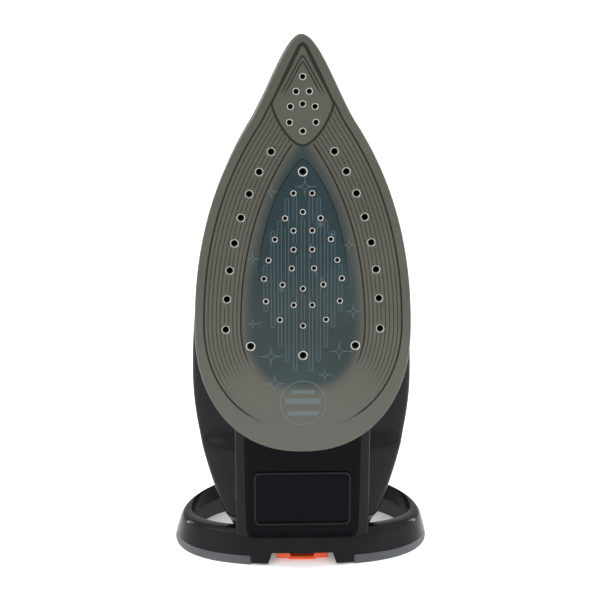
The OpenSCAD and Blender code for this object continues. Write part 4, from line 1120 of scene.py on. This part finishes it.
lead_yellow = finish("glass_sleeved_lead", "#c9b24a", "#b8a142", (0.55, 0.7), 0.4, 0.02, IOR=1.5)
inner_finish = {
    "sole_casting": cast_metal, "heating_element": tube_steel, "element_terminals": ceramic,
    "chamber_seal": red_silicone, "chamber_cover": pressed, "thermostat": ceramic, "thermal_fuse": brass,
    "heat_shield": black_shield, "shield_screws": steel, "filler_neck": black_shell, "door_pin": steel,
    "spray_tube": clear_tube, "steam_tube": red_silicone, "valve_seat": brass, "valve_rod": steel,
    "spray_pump": white_nylon, "burst_pump": white_nylon, "spray_plunger": grey_nylon,
    "burst_plunger": grey_nylon, "spray_spring": steel, "burst_spring": steel, "collector_sleeve": grey_nylon,
    "collector_duct": grey_nylon, "collector_cartridge": white_nylon, "collector_seal": red_silicone,
    "dial_shaft": steel, "control_board": green_board, "terminal_block": white_nylon, "inner_leads": lead_yellow,
    "cord_clamp": white_nylon, "clamp_screws": steel}
for name, material in inner_finish.items():
    for place_in_mesh in frame["nodes"][name].material_slots:
        place_in_mesh.material = material
left = [n for n, o in frame["nodes"].items() if not o.hide_render and n not in inner_finish]
print("nodes still without a finish:", left)

# %% [markdown]
# ## Floor and light
# A very large pale floor runs out of sight, and the sky around is white, so the iron stands in soft
# light from everywhere. Two wide lamps beside the camera give the broad sheen on the enamel, and a
# tall one on each side draws soft lines down the black shells.

# %% Floor
floor_paint, tree, shader, spot = blank("pale_floor_matt_paint")
cloud = add(tree, "ShaderNodeTexNoise", {"Vector": spot, "Scale": 1 / 0.4, "Detail": 3.0})
tree.links.new(ramp(tree, cloud.outputs["Fac"], 0.3, 0.7, linear("#fbfbfa"), linear("#f7f7f6")),
               shader.inputs["Base Color"])
shader.inputs["Roughness"].default_value = 0.7
shader.inputs["Specular IOR Level"].default_value = 0.1
shader.inputs["Emission Color"].default_value = (1, 1, 1, 1)
shader.inputs["Emission Strength"].default_value = 0.22
floor_half = 12.0
mesh = bpy.data.meshes.new("floor")
mesh.from_pydata([(x * floor_half, y * floor_half, 0) for x, y in ((-1, -1), (1, -1), (1, 1), (-1, 1))], [],
                 [(0, 1, 2, 3)])
mesh.materials.append(floor_paint)
floor = bpy.data.objects.new("floor", mesh)
bpy.context.scene.collection.objects.link(floor)

# %% Lamps and sky


def lamp(name, at, toward, size, watts):
    """A soft rectangular lamp at a point, turned to look at another."""
    light = bpy.data.lights.new(name, "AREA")
    light.shape, light.size, light.size_y, light.energy = "RECTANGLE", *size, watts
    made = bpy.data.objects.new(name, light)
    made.matrix_world = Matrix.Translation(at) @ (Vector(toward) - Vector(at)).to_track_quat("-Z", "Y").to_matrix().to_4x4()
    bpy.context.scene.collection.objects.link(made)
    return made


middle = (0.0, 0.0, 0.16)
lamp("key_left", (-0.75, -0.95, 0.75), middle, (0.7, 0.9), 3.0)
lamp("fill_right", (0.95, -0.8, 0.7), middle, (0.7, 0.9), 1.4)
lamp("top", (0.0, -0.1, 1.5), middle, (1.2, 1.2), 2.5)
lamp("strip_left", (-1.1, 0.15, 0.35), middle, (0.08, 1.0), 12.0)
lamp("strip_right", (1.1, 0.15, 0.35), middle, (0.08, 1.0), 12.0)
world = bpy.data.worlds.new("white_sky")
world.use_nodes = True
background = next(n for n in world.node_tree.nodes if n.type == "BACKGROUND")
background.inputs["Color"].default_value = (1, 1, 1, 1)
background.inputs["Strength"].default_value = 1.0
bpy.context.scene.world = world
bpy.context.scene.view_settings.view_transform = "Standard"
